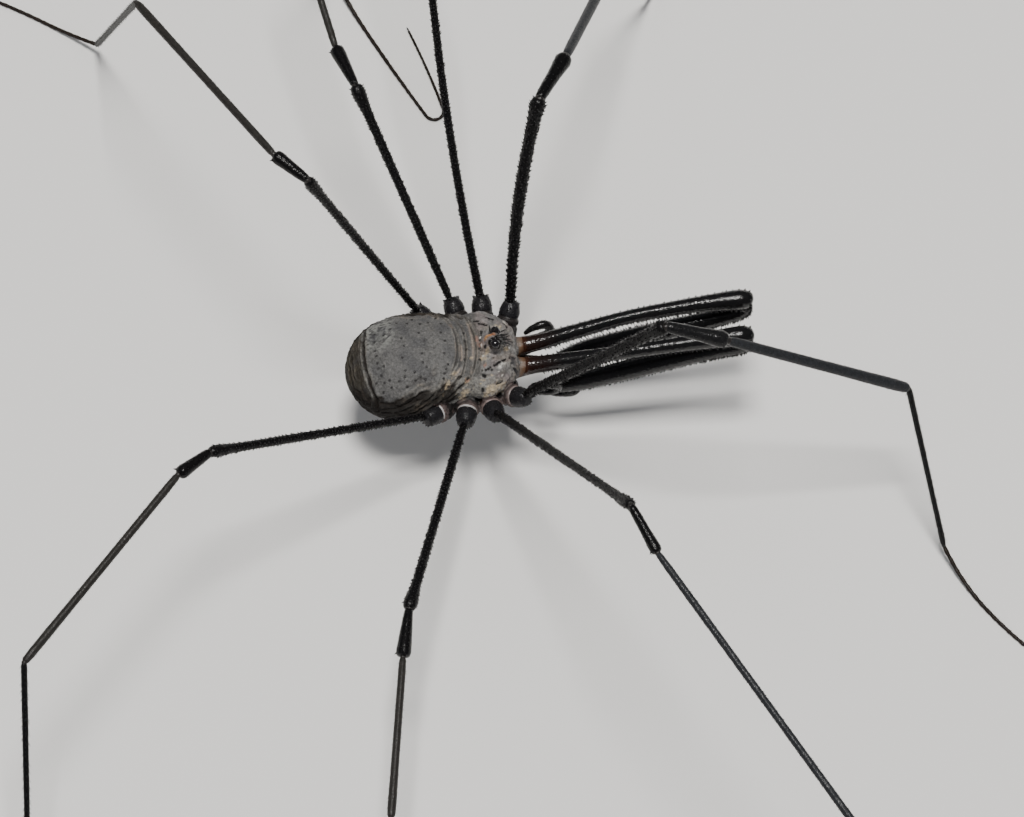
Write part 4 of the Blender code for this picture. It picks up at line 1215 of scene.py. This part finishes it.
# The pedipalps: two small feelers of the same black cuticle, bent up beside the mouth, with fine
# bristles.
PALP_PATHS = {
    "left": (
        (2.20, 1.04, -1.20), (2.50, 1.20, -1.26), (2.90, 1.30, -1.24), (3.27, 1.36, -1.04),
        (3.38, 1.40, -0.70), (3.10, 1.44, -0.44), (2.56, 1.34, -0.54), (2.24, 1.21, -0.72),
    ),
    "right": (
        (2.20, -1.04, -1.24), (2.50, -1.18, -1.32), (2.90, -1.28, -1.34), (3.30, -1.34, -1.18),
        (3.44, -1.36, -0.84), (3.16, -1.42, -0.52), (2.62, -1.34, -0.60), (2.28, -1.22, -0.78),
    ),
}
PALP_RADII = (0.15, 0.17, 0.17, 0.17, 0.175, 0.195, 0.140, 0.090)
for word in SIDES:
    centres, radii = flowing(PALP_PATHS[word], PALP_RADII, 0.09)
    radii = radii[:, 0]
    palp = bmesh.new()
    tints = [(*JET, 0.36)] * len(centres)
    draw_form(palp, centres, blunt_ends(radii, 0.8), tints, across=LEFTWARD, sides=14)
    bmesh.ops.recalc_face_normals(palp, faces=palp.faces)
    palp_piece = rounder(new_piece("pedipalp_" + word + "_feeler", palp), 1)
    finish_piece(palp_piece, jet_shell, "palp", "pedipalp_" + word)
    centres = centres[:-2]
    places = teeth_along(centres, radii, range(0, 360, 45), 0.18, 0.016, 0.09, 0.9, dice, LEFTWARD)
    places += teeth_along(centres, radii, range(20, 380, 60), 0.16, 0.05, 0.03, 0.3, dice, LEFTWARD)
    finish_piece(sown("pedipalp_" + word + "_bristles", thorn(4), places), tooth_black, "palp")


# The legs: eight, of six parts each. A granular cup at the hip, femur and patella in black cuticle
# set with small teeth, a satin grey tibia, a thin bristly metatarsus, and a whip-like foot of many
# small rings that ends in one claw and lies along the floor.
LEG_PARTS = ("trochanter", "femur", "patella", "tibia", "metatarsus", "tarsus")
# Lengths of femur, patella, tibia and metatarsus of legs 1 to 4.
LEG_LENGTHS = {
    1: (9.9, 2.7, 8.9, 7.9), 2: (16.5, 2.2, 15.5, 16.0), 3: (10.3, 2.15, 6.9, 11.0),
    4: (11.5, 1.75, 10.2, 15.0),
}
FEMUR_BOWS = {"left_1": 0.25, "left_2": 0.27}
# The trochanter's form: how far out each ring stands from the hip, and its half thickness.
CUP = (
    (-0.33, 0.30), (-0.31, 0.38), (-0.24, 0.43), (-0.12, 0.450), (0.02, 0.445), (0.15, 0.42),
    (0.27, 0.385), (0.37, 0.345), (0.44, 0.29), (0.48, 0.20), (0.49, 0.08),
)
# The cup's crown of teeth: degrees between them, width and height.
CROWN_TEETH = {"left": (36, 0.130, 0.100), "right": (24, 0.095, 0.070)}
# How high the body point and the ankles stand over the floor.
BODY_HEIGHT = 5.0
ANKLE_HEIGHT = 0.8
# Each foot: its heading, then its runs, as length and turn to the left.
TARSI = {
    "left_1": (58, ((15.0, -34),)),
    "right_1": (-68, ((15.0, 52),)),
    "left_2": (108, ((22.0, 26),)),
    "right_2": (-52, ((22.0, 30),)),
    "left_3": (-67, ((8.2, 4), (1.2, 165), (4.4, 6))),
    "right_3": (-112, ((15.0, -36),)),
    "left_4": (138, ((17.0, 36),)),
    "right_4": (-106, ((17.0, -42),)),
}
TARSUS_LANDING = 3.0
# A bead of the foot: its length at the root, how much shorter it is at the claw, the thickness
# of its rings as shares, and how dark the seam between two beads is.
BEAD_LENGTH = 0.46
BEAD_SHRINK = 0.22
BEAD_RINGS = (0.80, 0.95, 1.0, 0.95)
BEAD_SEAM = 0.55
# The claw: how far ahead and how high each of its rings stands from the foot's end.
CLAW = ((0, 0), (0.10, 0.02), (0.19, 0), (0.24, -0.035))
CLAW_RADII = (0.035, 0.03, 0.018, 0.004)
# Half thicknesses along each article of legs 1 to 4.
FEMUR_RADII = {
    1: (0.17, 0.21, 0.22, 0.25, 0.26, 0.27, 0.34, 0.26),
    2: (0.15, 0.18, 0.175, 0.17, 0.165, 0.17, 0.25, 0.20),
    3: (0.11, 0.16, 0.185, 0.19, 0.195, 0.21, 0.31, 0.25),
    4: (0.12, 0.15, 0.165, 0.175, 0.185, 0.19, 0.26, 0.21),
}
PATELLA_RADII = {
    1: (0.22, 0.26, 0.295, 0.37, 0.24), 2: (0.16, 0.19, 0.21, 0.25, 0.20),
    3: (0.17, 0.21, 0.27, 0.32, 0.26), 4: (0.18, 0.22, 0.26, 0.30, 0.24),
}
TIBIA_RADII = {
    1: (0.17, 0.215, 0.225, 0.235, 0.25, 0.20), 2: (0.13, 0.155, 0.155, 0.155, 0.165, 0.13),
    3: (0.13, 0.16, 0.165, 0.17, 0.185, 0.15), 4: (0.14, 0.17, 0.17, 0.175, 0.185, 0.15),
}
METATARSUS_RADIUS = {1: 0.125, 2: 0.115, 3: 0.125, 4: 0.125}
METATARSUS_SWELL = (1.0, 1.08, 1.0, 0.96, 1.02, 0.85)
# Where along its article each of these is measured.
PATELLA_STATIONS = (0.0, 0.18, 0.55, 0.90, 1.0)
TIBIA_STATIONS = (0.0, 0.08, 0.35, 0.65, 0.93, 1.0)
METATARSUS_STATIONS = (0.0, 0.05, 0.4, 0.75, 0.97, 1.0)
FIRST_LEG_TEETH = 1.3
TARSUS_RADII = {1: (0.105, 0.055), 2: (0.09, 0.05), 3: (0.11, 0.06), 4: (0.10, 0.055)}
CUP_BLACK = (0.014, 0.0135, 0.0150)
PATELLA_SHEEN = (0.010, 0.010, 0.0105)
SLATE = (0.022, 0.0235, 0.026)
BROWN_GREY = (0.024, 0.022, 0.020)
FOOT_BROWN = (0.018, 0.012, 0.009)
JOINT_BROWN = (0.014, 0.011, 0.010)
# The soft skin in the right hips' sockets: its colour, how far it shows above, half thickness.
SOCKET_SKINS = {
    "right_1": ((0.22, 0.18, 0.17), 0.025, 0.445), "right_2": ((0.20, 0.15, 0.14), 0.035, 0.435),
    "right_3": ((0.40, 0.38, 0.37), 0.032, 0.428), "right_4": ((0.46, 0.44, 0.43), 0.040, 0.435),
}


def leg_joints(leg, number, side):
    """The points where the leg bends, from the hip to the root of the foot."""
    points = [on_side(HIPS[number], side)]
    for length, (azimuth, slope) in zip(LEG_LENGTHS[number], LEG_POSES[leg]):
        if slope is None:
            drop = points[-1].z + BODY_HEIGHT - ANKLE_HEIGHT
            slope = -math.degrees(math.asin(drop / length))
        points.append(points[-1] + heading(azimuth, slope) * length)
    return points


def foot_line(leg, number, root):
    """Centres and half thicknesses of the foot's rings, which pinch in between its beads."""
    azimuth, runs = TARSI[leg]
    length = sum(run for run, _ in runs)
    thick, thin = TARSUS_RADII[number]
    centres, radii, shades = [], [], []
    travelled, spot, ring = 0.0, root.xy.copy(), 0
    for run, turn in runs:
        gone = 0.0
        while gone < run - 1e-6:
            bead_length = BEAD_LENGTH - BEAD_SHRINK * (travelled / length)
            pace = min(bead_length / 4, run - gone)
            radius = thick + (thin - thick) * travelled / length
            drop = max(0.0, 1 - travelled / TARSUS_LANDING) ** 2
            height = (radius - BODY_HEIGHT) + (root.z - radius + BODY_HEIGHT) * drop
            centres.append(Vector((spot.x, spot.y, height)))
            radii.append(radius * BEAD_RINGS[ring % 4])
            shades.append(BEAD_SEAM if ring % 4 == 0 else 1.0)
            middle = azimuth + turn * pace / run / 2
            spot = spot + heading(middle).xy * pace
            azimuth += turn * pace / run
            gone += pace
            travelled += pace
            ring += 1
    return centres, radii, shades, heading(azimuth)


leg_shell = shell_material(
    "leg_shell", 0.085, 0.40, 0.35, glint=0.5, clear=0.10, gloss=0.14, polish=0.18)
joint_skin = shell_material("joint_skin", 0.08, 0.2, 0.2)
for leg in LEG_POSES:
    word, number = leg.split("_")
    number = int(number)
    side = SIDES[word]
    joints = leg_joints(leg, number, side)
    ways = [(b - a).normalized() for a, b in zip(joints, joints[1:])]
    limb = bmesh.new()
    soft = bmesh.new()
    teeth_places = []
    hair_places = []

    # The cup at the hip, granular, with a crown of small teeth round the thigh's neck.
    outward = hip_joint(leg)[2]
    centres = [joints[0] + outward * reach for reach, _ in CUP]
    radii = [radius for _, radius in CUP]
    draw_form(limb, centres, radii, [(*CUP_BLACK, 0.36)] * len(CUP), sides=20)
    teeth_places += teeth_along(centres, radii, range(0, 360, 30), 0.17, 0.080, 0.034, 0.3, dice)
    gap, width, height = CROWN_TEETH[word]
    teeth_places += teeth_along(
        centres[7:9], radii[7:9], range(0, 360, gap), 0.10, width, height, 0.6, dice)
    pale, lift, girth = SOCKET_SKINS.get(leg, (JOINT_BROWN, 0.0, 0.455))
    base = [joints[0] - outward * reach + UP * lift for reach in (0.36, 0.30, 0.25, 0.18)]
    draw_form(soft, base, (0.40, girth, girth, 0.40), [(*pale, 0.4)] * 4, sides=20)

    # The femur, with a spur over the knee.
    start = joints[0] + ways[0] * 0.30
    end = joints[1] + ways[0] * 0.06
    neck = 0.55 / (joints[1] - start).length
    sway = UP.cross(ways[0]).normalized() * FEMUR_BOWS.get(leg, 0.0)
    path = []
    for share in (0.0, neck, 0.22, 0.45, 0.65, 0.86, 0.965, 1.0):
        path.append(start.lerp(end, share) + sway * (4 * share * (1 - share)))
    centres, radii = flowing(path, FEMUR_RADII[number], 0.16)
    draw_form(limb, centres, blunt_ends(radii[:, 0], 0.8), [(*JET, 0.36)] * len(centres))
    coarse = FIRST_LEG_TEETH if number == 1 else 1.0
    teeth_places += teeth_along(
        centres[:-1], radii[:, 0], range(0, 360, 30), 0.20, 0.066 * coarse, 0.088 * coarse,
        0.6, dice)
    spur = joints[1] - ways[0] * 0.02 + UP * (FEMUR_RADII[number][6] * 0.8)
    teeth_places.append((spur, UP + ways[0] * 0.8, ways[0], 0.11, 0.15))

    # The patella, with a spur outside.
    path = [joints[1].lerp(joints[2], share) for share in PATELLA_STATIONS]
    centres, radii = flowing(path, PATELLA_RADII[number], 0.12)
    sheen = PATELLA_SHEEN if leg == "right_1" else JET
    draw_form(limb, centres, blunt_ends(radii[:, 0], 0.8), [(*sheen, 0.26)] * len(centres))
    teeth_places += teeth_along(
        centres[1:-1], radii[1:, 0], range(15, 375, 45), 0.32, 0.045, 0.032, 0.4, dice)
    outside = side * UP.cross(ways[1]).normalized()
    spur = joints[1].lerp(joints[2], 0.93) + outside * (PATELLA_RADII[number][3] * 0.85)
    teeth_places.append((spur, outside + ways[1] * 0.5, ways[1], 0.10, 0.13))

    # The tibia and the metatarsus, with lying bristles.
    start = joints[2] - ways[2] * 0.02
    path = [start.lerp(joints[3], share) for share in TIBIA_STATIONS]
    centres, radii = flowing(path, TIBIA_RADII[number], 0.18)
    grey = SLATE if number in (1, 2) else BROWN_GREY
    draw_form(limb, centres, blunt_ends(radii[:, 0], 0.8), [(*grey, 0.40)] * len(centres))
    hair_places += teeth_along(
        centres[1:-1], radii[1:, 0], range(0, 360, 45), 0.26, 0.016, 0.10, 1.2, dice)

    end = joints[4] + ways[3] * 0.04
    path = [joints[3].lerp(end, share) for share in METATARSUS_STATIONS]
    thick = METATARSUS_RADIUS[number]
    centres, radii = flowing(path, [thick * swell for swell in METATARSUS_SWELL], 0.2)
    tints = [(*JET, 0.45)] * len(centres)
    draw_form(limb, centres, blunt_ends(radii[:, 0], 0.8), tints, sides=12)
    hair_places += teeth_along(
        centres[1:-1], radii[1:, 0], range(0, 360, 40), 0.16, 0.016, 0.15, 1.3, dice)

    # Soft brown skin in each joint.
    onward = ways[1:] + [heading(TARSI[leg][0])]
    sizes = (PATELLA_RADII[number][0], TIBIA_RADII[number][0], thick, thick * 0.8)
    for joint, before, after, size in zip(joints[1:], ways, onward, sizes):
        line = [joint - before * size * 0.9, joint, joint + after * size * 0.9]
        girths = (size * 0.8, size * 1.12, size * 0.8)
        draw_form(soft, line, girths, [(*JOINT_BROWN, 0.4)] * 3, sides=12)

    # The foot and its claw.
    centres, radii, shades, ahead = foot_line(leg, number, joints[4])
    radii = blunt_ends(radii, 0.6)
    tints = [(*(value * shade for value in FOOT_BROWN), 0.5) for shade in shades]
    draw_form(limb, centres, radii, tints, sides=10)
    hair_places += teeth_along(centres, radii, range(25, 160, 45), 0.15, 0.012, 0.11, 1.5, dice)
    tip = centres[-1]
    hook = [tip + ahead * run + UP * rise for run, rise in CLAW]
    draw_form(limb, hook, CLAW_RADII, [(*JET, 0.2)] * 4, sides=8)

    bmesh.ops.recalc_face_normals(limb, faces=limb.faces)
    bmesh.ops.recalc_face_normals(soft, faces=soft.faces)
    shell = rounder(new_piece("leg_" + leg + "_shell", limb), 1)
    roughen(shell, 0.10, 0.010, 55.0)
    finish_piece(shell, leg_shell, "leg", *(f"leg_{leg}_{part}" for part in LEG_PARTS))
    finish_piece(rounder(new_piece("leg_" + leg + "_joint_skin", soft), 1), joint_skin, "leg")
    finish_piece(sown("leg_" + leg + "_teeth", thorn(6, 0.3), teeth_places), tooth_black, "leg")
    finish_piece(sown("leg_" + leg + "_bristles", thorn(4, 0.4), hair_places), tooth_black, "leg")


# The floor and the light: plain pale paper, one soft lamp overhead and two weak ones beside it, in
# a dim even surround.
FLOOR_COLOUR = (0.88, 0.87, 0.85, 1)
FLOOR_ROUGHNESS = 0.9
FLOOR_HALF_WIDTH = 1.5
SURROUND_COLOUR = (0.90, 0.93, 1.0, 1)
SURROUND_STRENGTH = 0.15
floor_mesh = bmesh.new()
bmesh.ops.create_grid(floor_mesh, x_segments=1, y_segments=1, size=FLOOR_HALF_WIDTH)
floor = new_piece("floor", floor_mesh)
paper = bpy.data.materials.new("pale_paper")
paper.use_nodes = True
paper_shader = paper.node_tree.nodes["Principled BSDF"]
paper_shader.inputs["Base Color"].default_value = FLOOR_COLOUR
paper_shader.inputs["Roughness"].default_value = FLOOR_ROUGHNESS
floor.data.materials.append(paper)

# Lamps: name, place and size in metres, power, colour.
LAMPS = (
    ("key", (0.00, -0.02, 0.40), 0.09, 1.75, (1.0, 0.98, 0.95)),
    ("fill", (0.10, -0.34, 0.20), 0.25, 0.18, (0.94, 0.97, 1.0)),
    ("rim", (-0.10, 0.34, 0.20), 0.20, 0.20, (1.0, 1.0, 1.0)),
)
for name, place, size, power, colour in LAMPS:
    lamp_data = bpy.data.lights.new(name, "AREA")
    lamp_data.size = size
    lamp_data.energy = power
    lamp_data.color = colour
    lamp = bpy.data.objects.new(name, lamp_data)
    lamp.location = place
    lamp.visible_glossy = name == "key"
    lamp.rotation_euler = (-Vector(place)).to_track_quat("-Z", "Y").to_euler()
    bpy.context.scene.collection.objects.link(lamp)
world = bpy.data.worlds.new("studio")
world.use_nodes = True
surround = world.node_tree.nodes["Background"]
surround.inputs["Color"].default_value = SURROUND_COLOUR
surround.inputs["Strength"].default_value = SURROUND_STRENGTH
bpy.context.scene.world = world
